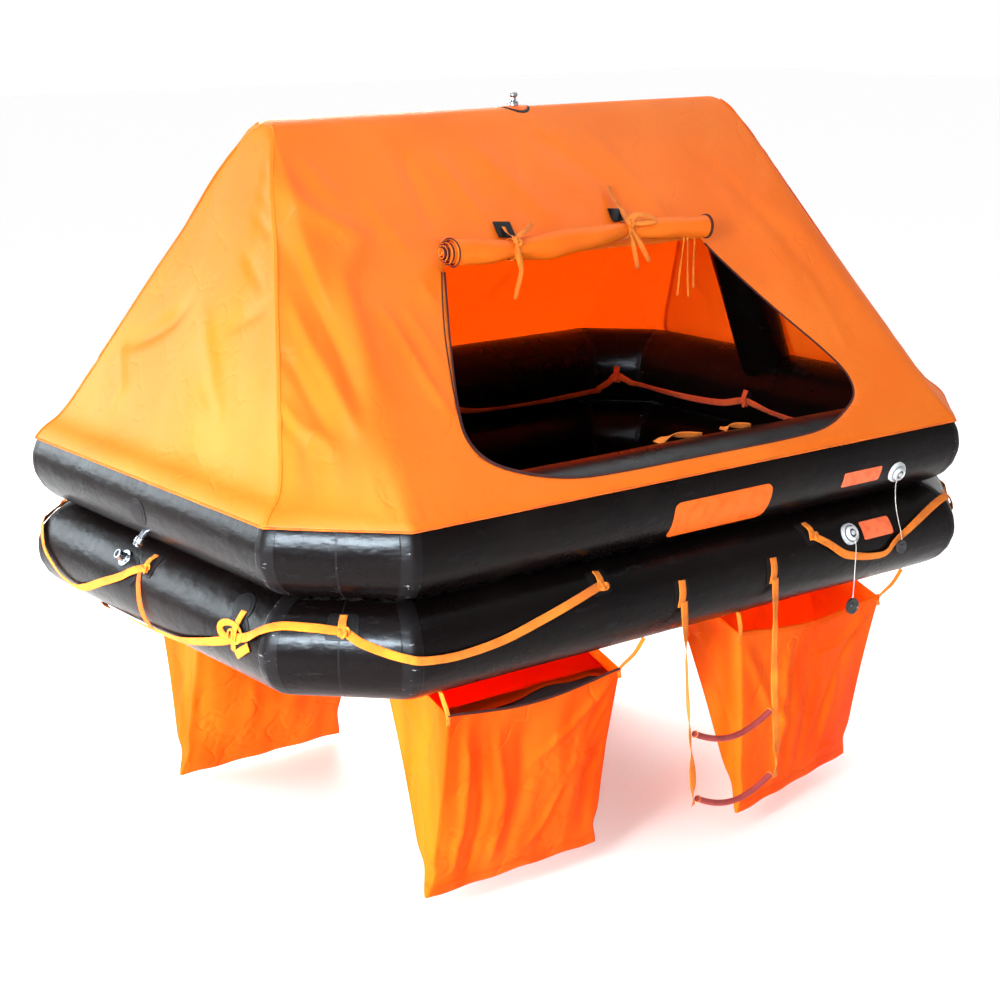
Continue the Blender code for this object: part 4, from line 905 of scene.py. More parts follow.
def clothGrid():
    # the canopy's points, with their normals from the grid's two directions, pointing out of the tent
    columns = canopy["columns"]
    run = [runAt[k] + sideRun[k] * np.arange(count) / count for k, count in enumerate(columns)]
    run = np.concatenate([*run, [wholeRun - 1e-9]])[:, None]
    arc, slope, hang = (np.linspace(0, 1, canopy[key]) for key in ("rowsArc", "rowsSlope", "rowsTube"))
    down = np.concatenate([arc[:-1], 1 + slope[:-1], 2 + hang])[None, :]
    place = placeAt(run)
    isEnd = (place >= 3) & (place <= 4) | (place >= 7)
    points = canopySoft(run, down)
    points[-1] = points[0]
    stepRun = np.concatenate([points[1:] - points[:-1], points[1:2] - points[:1]])
    stepRun = stepRun + np.roll(stepRun, 1, 0)
    normal = unit(np.cross(np.gradient(points, axis=1), stepRun))
    away = points - np.array([0, 0, 0.6])
    normal *= np.sign((normal * away).sum(-1, keepdims=True) + 1e-12)
    normal[:, 0] = unit(normal[:, 0] + (0, 0, 2))
    points = points + normal * clothRise(points, run, down, isEnd)[..., None]
    # how near each point is to the line between roof and end, where the ridge's ends are rounded below
    endX = canopy["endX"] + canopy["endLean"] * (canopy["ridgeZ"] - points[..., 2])
    endGap = endX - np.abs(points[..., 0])
    arc = np.sqrt(np.maximum(canopy["arcRadius"] ** 2 - points[..., 1] ** 2, 0))
    topGap = canopy["ridgeZ"] - canopy["arcRadius"] + arc - points[..., 2]
    gap = np.maximum(np.where(isEnd, topGap, endGap), 0)
    # averaged down the slope where the cloth bends onto the tube, so that it flows over the bend
    first, last = canopy["bendRows"]
    near = np.nonzero((down[0] > first) & (down[0] < last))[0]
    share = np.sin(np.pi * np.linspace(0, 1, len(near)))[None, :, None]
    for _ in range(canopy["bendPasses"]):
        middle = (points[:, near - 1] + points[:, near + 1]) / 2
        points[:, near] += (middle - points[:, near]) * 0.5 * share ** 0.5
    fold = np.clip(1 - gap / canopy["endRound"], 0, 1) ** 2
    fold = fold * (1 - smoothStep(np.abs(points[..., 1]), 0.05, 0.13))
    points[..., 0] -= np.sign(points[..., 0]) * fold * canopy["endPull"]
    points[..., 2] -= fold * canopy["endDrop"]
    points[-1] = points[0]
    return run, down, place, points, normal


def makeCanopy():
    run, down, place, points, normal = clothGrid()
    hip = np.abs(run - runAt[[0, 3, 4, 7, 8]][None]).min(1)[:, None]
    seam = np.exp(-((hip - 0.006) / 0.0035) ** 2) + np.exp(-((down - canopy["hemSeam"]) / 0.02) ** 2)
    part = gridPart(points, run, lengthAlong(points[260])[None, :], seam=np.clip(seam, 0, 1))
    # the door: faces inside the outline go, and the loop left is drawn onto the outline
    outline = curveThrough(doorOutline, 400)
    outline = np.vstack([outline, spreadEvenly(outline[[-1, 0]], 60)])
    nearDoor = (place > 0.2) & (place < 2.8) & (down > 1.2) & (down < 2.6)
    inside = (insideOutline(frontFlat(points), outline) & nearDoor).reshape(-1)
    part["faces"] = part["faces"][inside[part["faces"]].sum(1) < 3]

    def drawOn(shape):
        shape.verts.ensure_lookup_table()
        loops = [vert for vert in shape.verts if vert.is_boundary and vert.co.z > 0.5 and vert.co.y < -0.3]
        here = frontFlat(np.array([vert.co for vert in loops]))
        nearest = np.linalg.norm(here[:, None] - outline[None], axis=-1).argmin(1)
        for vert, (moveX, moveDown) in zip(loops, outline[nearest] - here):
            vert.co.x += moveX
            vert.co += Vector(frontDown) * moveDown
        loose = [vert for vert in shape.verts if not vert.link_faces]
        bmesh.ops.delete(shape, geom=loose, context="VERTS")
        return np.array([loops[k].co for k in np.argsort(nearest)])

    panels = "canopy_front canopy_back canopy_left canopy_right"
    made, rim = makePiece("canopyCloth", [part], "canopy", panels, thick=canopy["thick"], edit=drawOn)
    return rim, run[:, 0], points, normal


doorRim, clothRun, clothPoints, clothNormals = makeCanopy()
print("canopy made")


# width and thickness of each tape
tapes = {"binding": (0.0065, 0.004), "secondBinding": (0.0042, 0.0022), "hem": (0.006, 0.0026),
         "seam": (0.013, 0.0016)}


def doorBinding():
    # folded tape carried along the door's edge, open along the top where the roll covers it, with a second
    # line down the left
    rim = doorRim[frontFlat(doorRim)[:, 1] > 0.612]
    keep = np.concatenate([[True], np.linalg.norm(np.diff(rim, axis=0), axis=1) > 0.003])
    line = spreadEvenly(rim[keep], 260)
    for _ in range(4):
        line[1:-1] = (line[:-2] + 2 * line[1:-1] + line[2:]) / 4
    aside = (0.65 + 0.35 * np.sin(np.linspace(0, 9, 92)))[:, None] * (-0.017, 0, 0)
    second = line[:92] + frontNormal * 0.0012 + aside
    parts = [strap(line - frontNormal * 0.0006, frontNormal, *tapes["binding"]),
             strap(second, frontNormal, *tapes["secondBinding"])]
    makePiece("doorBinding", parts, "binding")


def canopyTapes():
    # narrow tapes on the canopy's own points: one along the hem, one down each seam
    hem = clothPoints[:, -1] + (0, 0, 0.001)
    facing = clothNormals[:, -1]
    part = strap(np.vstack([hem, hem[1:3]]), np.vstack([facing, facing[1:3]]), *tapes["hem"])
    makePiece("canopyHem", [part], "hem")
    parts = []
    for place in (0, 3, 4, 7):
        column = int(np.abs(clothRun - runAt[place]).argmin())
        facing = clothNormals[column, 2:]
        parts.append(strap(clothPoints[column, 2:] + facing * 0.0006, facing, *tapes["seam"]))
    makePiece("canopySeams", parts, "canopy")


doorBinding()
canopyTapes()

# the rolled door with its ties

roll = {"left": -0.59, "right": 0.452, "out": 0.043, "inner": 0.007, "turns": 4.6, "thick": 0.0012,
        "trim": 0.01, "columns": 190, "stepsPerTurn": 28, "tieThick": 0.0016}
# x with the roll's radius, and x with its place down the slope
rollRadius = np.array([
    (-0.6, 0.042), (-0.54, 0.044), (-0.42, 0.04), (-0.37, 0.032), (-0.34, 0.025), (-0.3, 0.034),
    (-0.2, 0.045), (-0.06, 0.041), (0.06, 0.031), (0.112, 0.021), (0.16, 0.03), (0.25, 0.037), (0.46, 0.039)])
rollDown = np.array([(-0.6, 0.596), (-0.53, 0.6), (-0.33, 0.613), (-0.18, 0.608), (-0.05, 0.598),
                     (0.126, 0.584), (0.27, 0.592), (0.46, 0.6)])
# tapes and tails as their width, then rows: tapes by x, down and off the slope, tails from the knot
ties = {
    "Left": {
        "x": -0.34, "patch": (-0.29, 0.512), "size": (0.062, 0.058),
        "tapes": ((0.012, ((-0.292, 0.505, 0.006), (-0.296, 0.53, 0.012), (-0.31, 0.556, 0.035),
                           (-0.328, 0.582, 0.064), (-0.34, 0.606, 0.072))),
                  (0.014, ((-0.34, 0.606, 0.074), (-0.318, 0.59, 0.084), (-0.282, 0.572, 0.08),
                           (-0.245, 0.548, 0.07)))),
        "tails": ((0.013, ((0, 0, 0), (0.004, -0.006, -0.03), (0.01, -0.008, -0.062), (0.008, -0.007, -0.095),
                           (-0.002, -0.006, -0.13), (-0.01, -0.005, -0.165))),
                  (0.012, ((0, 0, 0), (-0.003, -0.003, -0.028), (0.004, -0.005, -0.056),
                           (0.012, -0.006, -0.085))))},
    "Right": {
        "x": 0.112, "patch": (0.16, 0.5), "size": (0.06, 0.05),
        "tapes": ((0.012, ((0.18, 0.49, 0.006), (0.16, 0.52, 0.018), (0.135, 0.548, 0.045),
                           (0.118, 0.57, 0.064), (0.112, 0.582, 0.068))),
                  (0.017, ((0.112, 0.58, 0.07), (0.135, 0.535, 0.055), (0.155, 0.485, 0.03),
                           (0.17, 0.435, 0.012), (0.18, 0.392, 0.008))),
                  (0.022, ((0.112, 0.58, 0.07), (0.15, 0.56, 0.082), (0.2, 0.57, 0.078),
                           (0.215, 0.583, 0.074), (0.17, 0.592, 0.08), (0.114, 0.582, 0.072)))),
        "tails": ((0.015, ((0, 0, 0), (0.018, -0.006, -0.032), (0.044, -0.01, -0.075),
                           (0.074, -0.01, -0.12))),
                  (0.014, ((0, 0, 0), (0.008, -0.004, -0.045), (0.018, -0.006, -0.09),
                           (0.03, -0.006, -0.138))))},
}
# tapes inside the door's right end: x of the top, x and z of the lower end
hangingTapes = ((0.341, 0.316, 0.889), (0.352, 0.363, 0.881), (0.383, 0.384, 0.908))
slopeRings = np.array([(0, 1), (0.5, 1), (0.9, 1), (0.97, 0.97), (1, 0.7), (1, -0.3), (0, -0.3)])


def smoothRow(x, rows):
    # the rows' straight lines read at x, averaged over a short stretch so that they bend softly
    return sum(np.interp(x + shift, *rows.T) for shift in (-0.02, -0.01, 0, 0.01, 0.02)) / 5


def onFront(x, down, off):
    # points by x, metres down the front slope and metres off it
    x, down, off = (np.asarray(value, float)[..., None] for value in np.broadcast_arrays(x, down, off))
    return frontTop + x * (1, 0, 0) + down * frontDown + off * frontNormal


def slopeFilm(middle, width, height, tilt):
    # a film laid on the front slope
    laid = lambda u, v, rise: onFront(middle[0] + u, middle[1] + v, rise + 0.0015)
    return film(width, height, 0.004, tilt, slopeRings, 0.0016, laid)


def doorRoll():
    # a spiral of cloth carried along the axis: the radius grows with the turn, narrows under the ties and
    # ripples lengthwise
    x = np.linspace(roll["left"], roll["right"], roll["columns"])[:, None]
    turn = np.linspace(0, roll["turns"] * math.tau, int(roll["turns"] * roll["stepsPerTurn"]))[None, :]
    share = turn / turn[0, -1]
    outer = smoothRow(x, rollRadius) * (1 + 0.04 * np.sin(x * 31 + turn))
    pinched = sum(np.exp(-((x - tie["x"]) / 0.075) ** 2) for tie in ties.values())
    ripple = 0.0016 * pinched * np.sin(9 * turn + x * 40) + 0.0012 * np.sin(3 * turn + x * 19)
    radius = roll["inner"] + (outer - roll["inner"]) * share + ripple * share
    centre = onFront(x, smoothRow(x, rollDown), roll["out"])
    angle = (math.radians(100) + turn)[..., None]
    points = centre + radius[..., None] * (np.sin(angle) * frontNormal - np.cos(angle) * frontDown)
    # the outer turns stop short of the inner ones at the left end, so the end steps inwards
    points[..., 0] += 0.045 * share ** 2 * smoothStep(-x, 0.42, 0.59)
    points[..., 0] -= 0.012 * share * smoothStep(x, 0.34, 0.45)
    part = gridPart(points, x, lengthAlong(points[70])[None, :], away=None, seam=0)
    made = makePiece("doorRoll", [part], "canopy", "door_roll", thick=roll["thick"])
    outward = unit(points - centre)[:, 20:]
    trims = [strap(points[end, 20:] + outward[end] * 0.0008, outward[end], roll["trim"], 0.0034)
             for end in (1, -2)]
    makePiece("doorRollTrim", trims, "binding")


def tiesOfDoor():
    # each tie is a tape from its patch to the roll, round the roll to a knot, with tails that hang from it
    turn = np.linspace(0, math.tau, 60)
    for name, tie in ties.items():
        patch = slopeFilm(tie["patch"], *tie["size"], 0.1)
        makePiece("tiePatch" + name, [patch], "rubber", "tie_patch_" + name.lower(), soft=40)
        radius = smoothRow(tie["x"], rollRadius) + 0.0035
        down = smoothRow(tie["x"], rollDown)
        loop = onFront(tie["x"] + 0.004 * np.sin(turn), down + radius * np.cos(turn),
                       roll["out"] + radius * np.sin(turn))
        knotAt = onFront(tie["x"], down, roll["out"] + radius + 0.004)
        bands = [strap(loop, unit(loop - onFront(tie["x"], down, roll["out"])), 0.013, 0.0018),
                 knot(knotAt, 0.011, 0.008, frontNormal, 0.7)]
        for width, rows in tie["tapes"]:
            line = curveThrough(onFront(*np.transpose(rows)), 50)
            twist = 0.25 * np.sin(np.linspace(0, 6, 50))
            bands.append(strap(line, frontNormal, width, roll["tieThick"], twist))
        for width, rows in tie["tails"]:
            line = curveThrough(knotAt + np.array(rows), 50)
            twist = 0.45 * np.sin(np.linspace(0, 7, 50))
            bands.append(strap(line, (-0.2, -1, 0), width, roll["tieThick"], twist))
        makePiece("doorTie" + name, bands, "webbing", "door_tie_" + name.lower())


def doorTapes():
    # thin tapes that hang inside the door's right end, and the sewn tape at its left end
    parts = []
    for xTop, xLow, low in hangingTapes:
        share = np.linspace(0, 1, 40)[:, None]
        top, end = np.array([xTop, -0.452, 1.085]), np.array([xLow, -0.45, low])
        line = top + (end - top) * share + np.array([0.003, 0.002, 0]) * np.sin(share * 7)
        parts.append(strap(line, (-0.3, -1, 0), 0.006, 0.0012, 0.5 * np.sin(np.linspace(0, 5, 40))))
    makePiece("doorTapes", parts, "webbing")
    makePiece("doorEndPatch", [slopeFilm((-0.512, 0.545), 0.048, 0.055, 0.15)], "sign")


doorRoll()
tiesOfDoor()
doorTapes()
print("door made")

# the ballast pockets

pockets = {"wall": 0.0016, "reach": 0.345, "drop": 0.11, "hemBand": 0.036, "mouthSag": 0.03,
           "backZ": 0.0095, "panelColumns": (61, 25, 49, 25), "rows": 58, "creases": 0.003, "foldGain": 1.25,
           # how far the gussets and the panels' ends draw in, the gather above the hem and its easing
           "gussetTuck": 0.02, "panelTuck": 0.011, "gather": 0.012, "hemEase": 0.004,
           # how far the panels swell, and draw in below the mouth
           "belly": 0.018, "shoulder": 0.012,
           "bindingWidth": 0.008, "hemWidth": 0.02, "bindingThick": 0.0036, "strapWidth": 0.013,
           "strapAside": 0.055, "strapOut": 0.042, "strapTopZ": -0.0165,
           "flapWall": 0.0012, "flapInner": 0.3, "flapOuter": 0.012, "flapDrop": 0.118}
# name, side (-1 front), end (-1 left), gaps to the corner and to the middle, the hem's distance inwards and
# depth, the hem's skew
pocketRows = (("front_left", -1, -1, 0.145, 0.243, 0.115, 0.7, 0),
              ("front_right", -1, 1, 0.135, 0.25, 0.065, 0.7, 0.07),
              ("rear_left", 1, -1, 0.135, 0.243, 0.135, 0.78, 0),
              ("rear_right", 1, 1, 0.135, 0.243, 0.135, 0.78, 0))
# width, rise, then around and down of each point: around is 0 to 1 over the outer panel, 3 to 4 over the
# gusset before it
outerFolds = (
    (0.015, 0.0085, 0.11, 0.06, 0.14, 0.5, 0.1, 0.95),
    (0.012, -0.008, 0.18, 0.1, 0.23, 0.55, 0.2, 0.96),
    (0.016, 0.006, 0.29, 0.08, 0.35, 0.6, 0.31, 0.95),
    (0.014, 0.008, 0.99, 0.03, 0.78, 0.2, 0.52, 0.36),
    (0.013, 0.0075, 0.99, 0.05, 0.86, 0.34, 0.7, 0.62, 0.5, 0.93),
    (0.013, -0.007, 0.96, 0.1, 0.82, 0.42, 0.62, 0.82),
    (0.01, 0.0055, 0.8, 0.46, 0.88, 0.44, 0.97, 0.5),
    (0.01, -0.0045, 0.74, 0.52, 0.84, 0.5, 0.92, 0.55),
    (0.018, -0.008, 0.99, 0.35, 0.9, 0.6, 0.92, 0.92),
    (0.02, -0.006, 0.45, 0.12, 0.46, 0.5, 0.4, 0.93),
    (0.018, 0.0095, 3.22, 0.1, 3.45, 0.24, 3.62, 0.3),
    (0.014, -0.008, 3.8, 0.05, 3.55, 0.32, 3.45, 0.4),
    (0.016, 0.007, 3.35, 0.45, 3.62, 0.7, 3.8, 0.9),
)
innerFolds = (
    (0.016, 0.0085, 0.03, 0.06, 0.2, 0.42, 0.4, 0.62),
    (0.014, -0.007, 0.1, 0.05, 0.26, 0.34, 0.36, 0.5),
    (0.016, 0.009, 0.37, 0.06, 0.31, 0.45, 0.27, 0.95),
    (0.014, -0.0075, 0.43, 0.1, 0.38, 0.55, 0.36, 0.95),
    (0.014, 0.008, 0.98, 0.05, 0.74, 0.2, 0.52, 0.22),
    (0.013, -0.007, 0.96, 0.08, 0.76, 0.35, 0.62, 0.76),
    (0.012, 0.0075, 0.78, 0.26, 0.72, 0.6, 0.64, 0.9),
    (0.016, -0.006, 0.56, 0.3, 0.52, 0.6, 0.5, 0.92),
    (0.014, 0.007, 3.25, 0.08, 3.5, 0.4, 3.85, 0.75),
    (0.012, 0.006, 0.6, 0.9, 0.78, 0.86, 0.95, 0.92),
)


def ballastPocket(name, side, end, cornerGap, middleGap, hemIn, hemDepth, skew):
    # a loop of cloth (front, gusset, back, gusset) carried down from the sloping mouth to the flat hem; the
    # panels belly, the gussets fold inwards down their middle, and creases run along it
    xa, xb = sorted((end * (straight - cornerGap), end * middleGap))
    yFront, yBack = side * halfWidth, side * (halfWidth - pockets["reach"])
    around = np.concatenate([k + np.linspace(0, 1, count)[:count - (k < 3)]
                             for k, count in enumerate(pockets["panelColumns"])])[None, :]
    down = np.linspace(0, 1, pockets["rows"])[:, None]
    loop = lambda *values: np.interp(around, range(5), values)
    wave = lambda value: np.sin(np.pi * value)
    x = loop(xa, xb, xb, xa, xa)
    mouthX = x
    mouthZ = loop(-pockets["drop"], -pockets["drop"], pockets["backZ"], pockets["backZ"], -pockets["drop"])
    # the mouth's edge sags between its straps
    mouthZ = mouthZ - pockets["mouthSag"] * wave(np.clip(around, 0, 1)) ** 1.2 * (around <= 1)
    inward = loop(1, -1, -1, 1, 1)
    hemY = side * (halfWidth - hemIn + loop(0.005, 0.005, -0.005, -0.005, 0.005) + skew * inward)
    y = loop(yFront, yFront, yBack, yBack, yFront) * (1 - down) + hemY * down
    z = mouthZ * (1 - down) - hemDepth * down
    gusset = wave(np.clip(around - 1, 0, 1)) + wave(np.clip(around - 3, 0, 1))
    panel = wave(np.clip(around, 0, 1)) + wave(np.clip(around - 2, 0, 1))
    phase = end * 1.3 + side * 2.1
    depth = (pockets["gussetTuck"] * wave(down ** 0.8) * gusset
             + pockets["panelTuck"] * wave(down) * (1 - gusset)
             + pockets["gather"] * np.exp(-((down - 0.88) / 0.06) ** 2)
             - pockets["hemEase"] * smoothStep(down, 0.93, 1))
    x = x + inward * depth + 0.003 * gusset * np.sin(down * 26 + phase) * wave(down)
    belly = pockets["belly"] * wave(down ** 1.3) - pockets["shoulder"] * wave(np.clip(down * 2, 0, 1))
    belly = belly * panel
    creases = (np.sin(mouthX * 41 + phase + 2.5 * down) * 0.5
               + np.sin(mouthX * 23 - 3 * down + phase * 2) * 0.8
               + np.sin(mouthX * 71 + 4 * down) * 0.25) * pockets["creases"] * wave(down * 0.96) ** 0.7
    outwards = side * np.where(around <= 1, 1, -1)
    y = y + outwards * (belly + creases * (panel > 0.001) * np.clip(panel * 3, 0, 1))
    z = z + 0.002 * np.sin(mouthX * 37 + phase) * down
    points = np.stack(np.broadcast_arrays(x, y, z), -1)
    # folds along the normals, which point away from the pocket's middle
    normal = unit(np.cross(np.gradient(points, axis=0), np.gradient(points, axis=1)))
    normal *= np.sign((normal * (points - points.mean((0, 1)))).sum(-1, keepdims=True))
    last = pockets["rows"] - 1
    spot = lambda rows: points[np.clip(np.round(rows[:, 1] * last).astype(int), 0, last),
                               np.abs(around - rows[:, :1]).argmin(1)]
    fade = smoothStep(down, 0, 0.05) * (1 - smoothStep(down, 0.955, 1))
    folded = foldField(points, innerFolds if end > 0 else outerFolds, spot)
    points = points + normal * (folded * pockets["foldGain"] * fade)[..., None]
    points[:, -1] = points[:, 0]
    width = loop(*np.cumsum([0, xb - xa, pockets["reach"], xb - xa, pockets["reach"]]))
    hemSeam = np.exp(-(((down - 1) * hemDepth + pockets["hemBand"]) / 0.0035) ** 2)
    gap = np.abs(around - np.round(around))
    edgeSeam = np.exp(-(gap * (xb - xa) / 0.006) ** 2) * (gap < 0.1)
    seam = np.clip(hemSeam + edgeSeam * 0.7, 0, 1)
    part = gridPart(points, width, 0.7 * down, away=points.mean((0, 1)), seam=seam)
    title = "pocket" + name.title().replace("_", "")
    made = makePiece(title, [part], "pocket", "ballast_pocket_" + name, thick=pockets["wall"])
    flat = (round(2 * (xb - xa) + 0.55, 2), hemDepth)
    return points


def pocketTrims():
    # tape round each mouth, a strap from each outer corner up under the tube, and in the left pockets a flap
    # that falls from the mouth's inner edge towards the outer one, with a wavy edge and below it a near-black
    # sheet that is painted shade inside the pocket's mouth
    bindings, hems, straps, flaps, mouthShadeSheets = [], [], [], [], []
    for name, side, end, *_ in pocketRows:
        points = pocketShapes[name]
        mouth = spreadEvenly(points[0, :61], 90)
        sewn, width = (bindings, pockets["bindingWidth"]) if end < 0 else (hems, pockets["hemWidth"])
        sewn.append(strap(mouth, (0, side, 0.2), width, pockets["bindingThick"]))
        for corner in (points[0, 0], points[0, 60]):
            aside = math.copysign(pockets["strapAside"], corner[0] - points[0, :61, 0].mean())
            outwards = side * (halfWidth + pockets["strapOut"])
            top = np.array([corner[0] + aside, outwards, pockets["strapTopZ"]])
            between = corner * 0.45 + top * 0.55 + (0, side * 0.004, -0.006)
            line = curveThrough((corner - (0, 0, 0.03), corner, between, top), 30)
            twist = np.linspace(0, 1, 30)
            straps.append(strap(line, (0, side, -0.4), pockets["strapWidth"], 0.0018, twist))
        if end > 0:
            continue
        share, along = np.linspace(0, 1, 14)[:, None], np.linspace(0, 1, 60)[None, :]
        left, right = points[0, 0, 0] + 0.012, points[0, 60, 0] - 0.012
        inner, outer = (side * (halfWidth - pockets[key]) for key in ("flapInner", "flapOuter"))
        slit = smoothStep(along, 0.3, 0.55) * (1 - smoothStep(along, 0.86, 0.99))
        reach = share * (0.985 - 0.085 * slit + 0.01 * np.sin(along * 17))
        under = 0.82 + 0.175 * share
        x = left + (right - left) * along
        y = inner + (outer - inner) * reach
        hang = (-0.02 - pockets["flapDrop"] * reach ** 1.1 - 0.01 * np.sin(np.pi * share)
                + 0.002 * np.sin(along * 23) * share)
        # the second sheet lies tucked below the flap; it is near-black and stands for the shade inside the
        # mouth: painted shade
        tucked = inner + (outer - inner) * under
        tuck = -0.026 - pockets["flapDrop"] * under ** 1.1 - 0.02 * share
        for sheets, across, z, marks in ((flaps, y, hang, {"seam": 0}), (mouthShadeSheets, tucked, tuck, {})):
            rows = np.stack(np.broadcast_arrays(x, across, z), -1)[:, ::-side]
            sheets.append(gridPart(rows, x, y, away=None, **marks))
    makePiece("pocketBindings", bindings, "binding")
    makePiece("pocketMouthHems", hems, "pocket")
    makePiece("pocketStraps", straps, "webbing")
    for name, parts, look, deep, area in (("pocketFlaps", flaps, "flap", 0.32, 0.38),
                                          ("pocketMouthShades", mouthShadeSheets, "lining", 0.08, 0.08)):
        made = makePiece(name, parts, look, thick=pockets["flapWall"])


pocketShapes = {row[0]: ballastPocket(*row) for row in pocketRows}
pocketTrims()
print("pockets made")

# webbing round the tubes: rows of place (the dip's are metres from the lower valve) and degrees

web = {"width": 0.025, "thick": 0.0021, "lift": 0.006, "valvePatch": (-0.160, 36)}
lineRows = {
    "front": ((7.89, 8), (7.94, 16), (7.98, 28), (8.08, 36), (8.29, 35.5), (8.46, 34), (8.51, 34), (8.56, 30),
              (8.64, 22), (8.8, 13), (8.92, 8), (9.021, 2.5), (9.066, 0), (9.129, 4), (9.194, 15),
              (9.246, 25), (9.303, 37)),
    "dip": ((-0.16, 36), (-0.097, 18), (-0.044, 4), (0.016, -3), (0.082, -8), (0.151, -8), (0.219, 9)),
    "rear": ((2.05, 44), (2.45, 10), (2.75, 0), (3, 14), (3.12, 38), (3.3, -4), (3.44, 2), (3.56, 38),
             (3.72, -6), (3.9, -2), (4.1, 12), (4.5, 38), (4.92, 6), (5.14, -10), (5.33, 38), (5.5, -14),
             (5.67, 38), (5.86, -10), (6.1, 6), (6.5, 40), (6.76, 38), (6.92, 34), (6.99, 36), (7.03, 20),
             (7.055, 4), (7.085, -9), (7.12, -25), (7.17, -31), (7.24, -21), (7.333, -2), (7.41, 14),
             (7.457, 27), (7.5, 38)),
    "bridle": ((7.2, -62), (7.31, -54), (7.42, -47), (7.513, -41), (7.642, -32), (7.745, -17), (7.834, -3),
               (7.858, 1), (7.868, 3), (7.878, 5)),
    "link": ((7.478, 32), (7.487, 22), (7.5, 8), (7.507, -8), (7.512, -24), (7.52, -40)),
    "inner": ((3.06, 188), (3.14, 197), (3.26, 201), (3.38, 197), (3.5, 188), (3.62, 199), (3.8, 203),
              (4.06, 199), (4.3, 192), (4.5, 186), (4.66, 196), (4.86, 208), (5, 215), (5.16, 220),
              (5.3, 214), (5.43, 188), (5.54, 206), (5.67, 186), (5.84, 214), (6.02, 208), (6.3, 192),
              (6.5, 186), (6.72, 194), (6.94, 206), (7.16, 208), (7.34, 200), (7.5, 188), (7.64, 204),
              (7.8, 210), (7.94, 194)),
}
frontPatches, innerPatches = (7.89, 8.51, 9.303), (3.5, 4.5, 5.43, 5.67, 6.5, 7.5)
outerPatches = ((8.51, 34), (9.303, 37), (3.12, 38), (3.56, 38), (4.5, 38), (5.33, 38), (5.67, 38), (6.5, 40),
                (7.5, 38))
degreeScale = 0.0024  # metres for a degree, so that the curve through the rows is fair
# straps at the sill: x of the middle, half the length, how far it bows up
sillRows = ((0.01, 0.085, 0.014), (0.262, 0.048, 0.01))
# the two pads of each patch: width, height, thickness, corner
padRows = ((0.066, 0.078, 0.0012, 0.008), (0.052, 0.064, 0.0021, 0.006))


def webLine(rows, patches, centreZ, steps, lift=0.0):
    # rows of (run, degrees) made a smooth curve, standing off the tube between the patches that hold it down
    run, degrees = curveThrough(np.array(rows) * (1, degreeScale), steps).T
    degrees = degrees / degreeScale
    near = np.abs(run[:, None] - np.asarray(patches)[None]).min(1)
    rise = 0.0008 + (lift or web["lift"]) * np.clip(near / 0.045, 0, 1)
    line = softTube(run, degrees, centreZ, tubeRadius + rise + web["thick"] / 2, 0.006)
    return line, tubeNormal(run, degrees), 0.20 * np.sin(run * 8.3 + 1) * smoothStep(near, 0.03, 0.12)


def runRows(name):
    # the rows of one line with metres in place of places
    return [(runOf(place), degrees) for place, degrees in lineRows[name]]


def band(name, node, look, rows, patches, centreZ, steps, lift=0.0):
    # one stretch of flat webbing; the bridle's lies untwisted
    line, normals, twist = webLine(rows, patches, centreZ, steps, lift)
    flat = node == "bridle"
    makePiece(name, [strap(line, normals, web["width"], web["thick"], 0 if flat else twist)], look, node)


def lifelines():
    dip = [(frontRun(middleX("valve_lower") + along, degrees), degrees) for along, degrees in lineRows["dip"]]
    bridle = runRows("bridle")
    rearPatches = [dip[0][0], *runOf([place for place, _ in outerPatches[2:]])]
    band("lifelineFront", "lifeline_front", "webbing", runRows("front"), runOf(frontPatches), lowerZ, 260)
    band("lifelineRear", "lifeline_rear", "webbing", dip + runRows("rear"), rearPatches, lowerZ, 900)
    band("bridleStrap", "bridle", "webbing", bridle, [bridle[0][0], bridle[-1][0]], lowerZ, 160)
    sillStraps()
    band("innerLifeline", "inner_lifeline", "redWebbing", runRows("inner"), runOf(innerPatches), upperZ, 700,
         0.004)


def sillStraps():
    # two straps bowed up from the tube at the door's sill
    bits = []
    for middle, reach, high in sillRows:
        share = np.linspace(-1, 1, 60)
        run = frontRun(middle + reach * share)
        degrees = 104 + 13 * np.cos(share * 1.6) - 5 * share
        bow = softTube(run, degrees, upperZ, tubeRadius + 0.004 + high * np.cos(share * 1.55) ** 2, 0.004)
        bits.append(strap(bow, tubeNormal(run, degrees), 0.024, web["thick"], 0.8 * np.sin(share * 2.4)))
    makePiece("sillStraps", bits, "webbing")


lifelines()
print("webbing made")

# the boarding ladder, which swings

ladder = {"y": -0.9801, "top": 0.1061, "width": 0.026, "thick": 0.0022, "drop": 0.644, "leanOver": 0.625,
          "rungRadius": 0.0094}
# x and lean of each strap, then its twists: how far down, radians, reach
ladderStraps = {
    "Left": (-0.127, 0.05, ((0.19, 1, 0.08), (0.33, 1.15, 0.09), (0.47, 0.7, 0.04), (0.62, 0.8, 0.03))),
    "Right": (0.245, 0.025, ((0.12, 0.3, 0.05), (0.33, -0.35, 0.06), (0.59, 1, 0.035))),
}


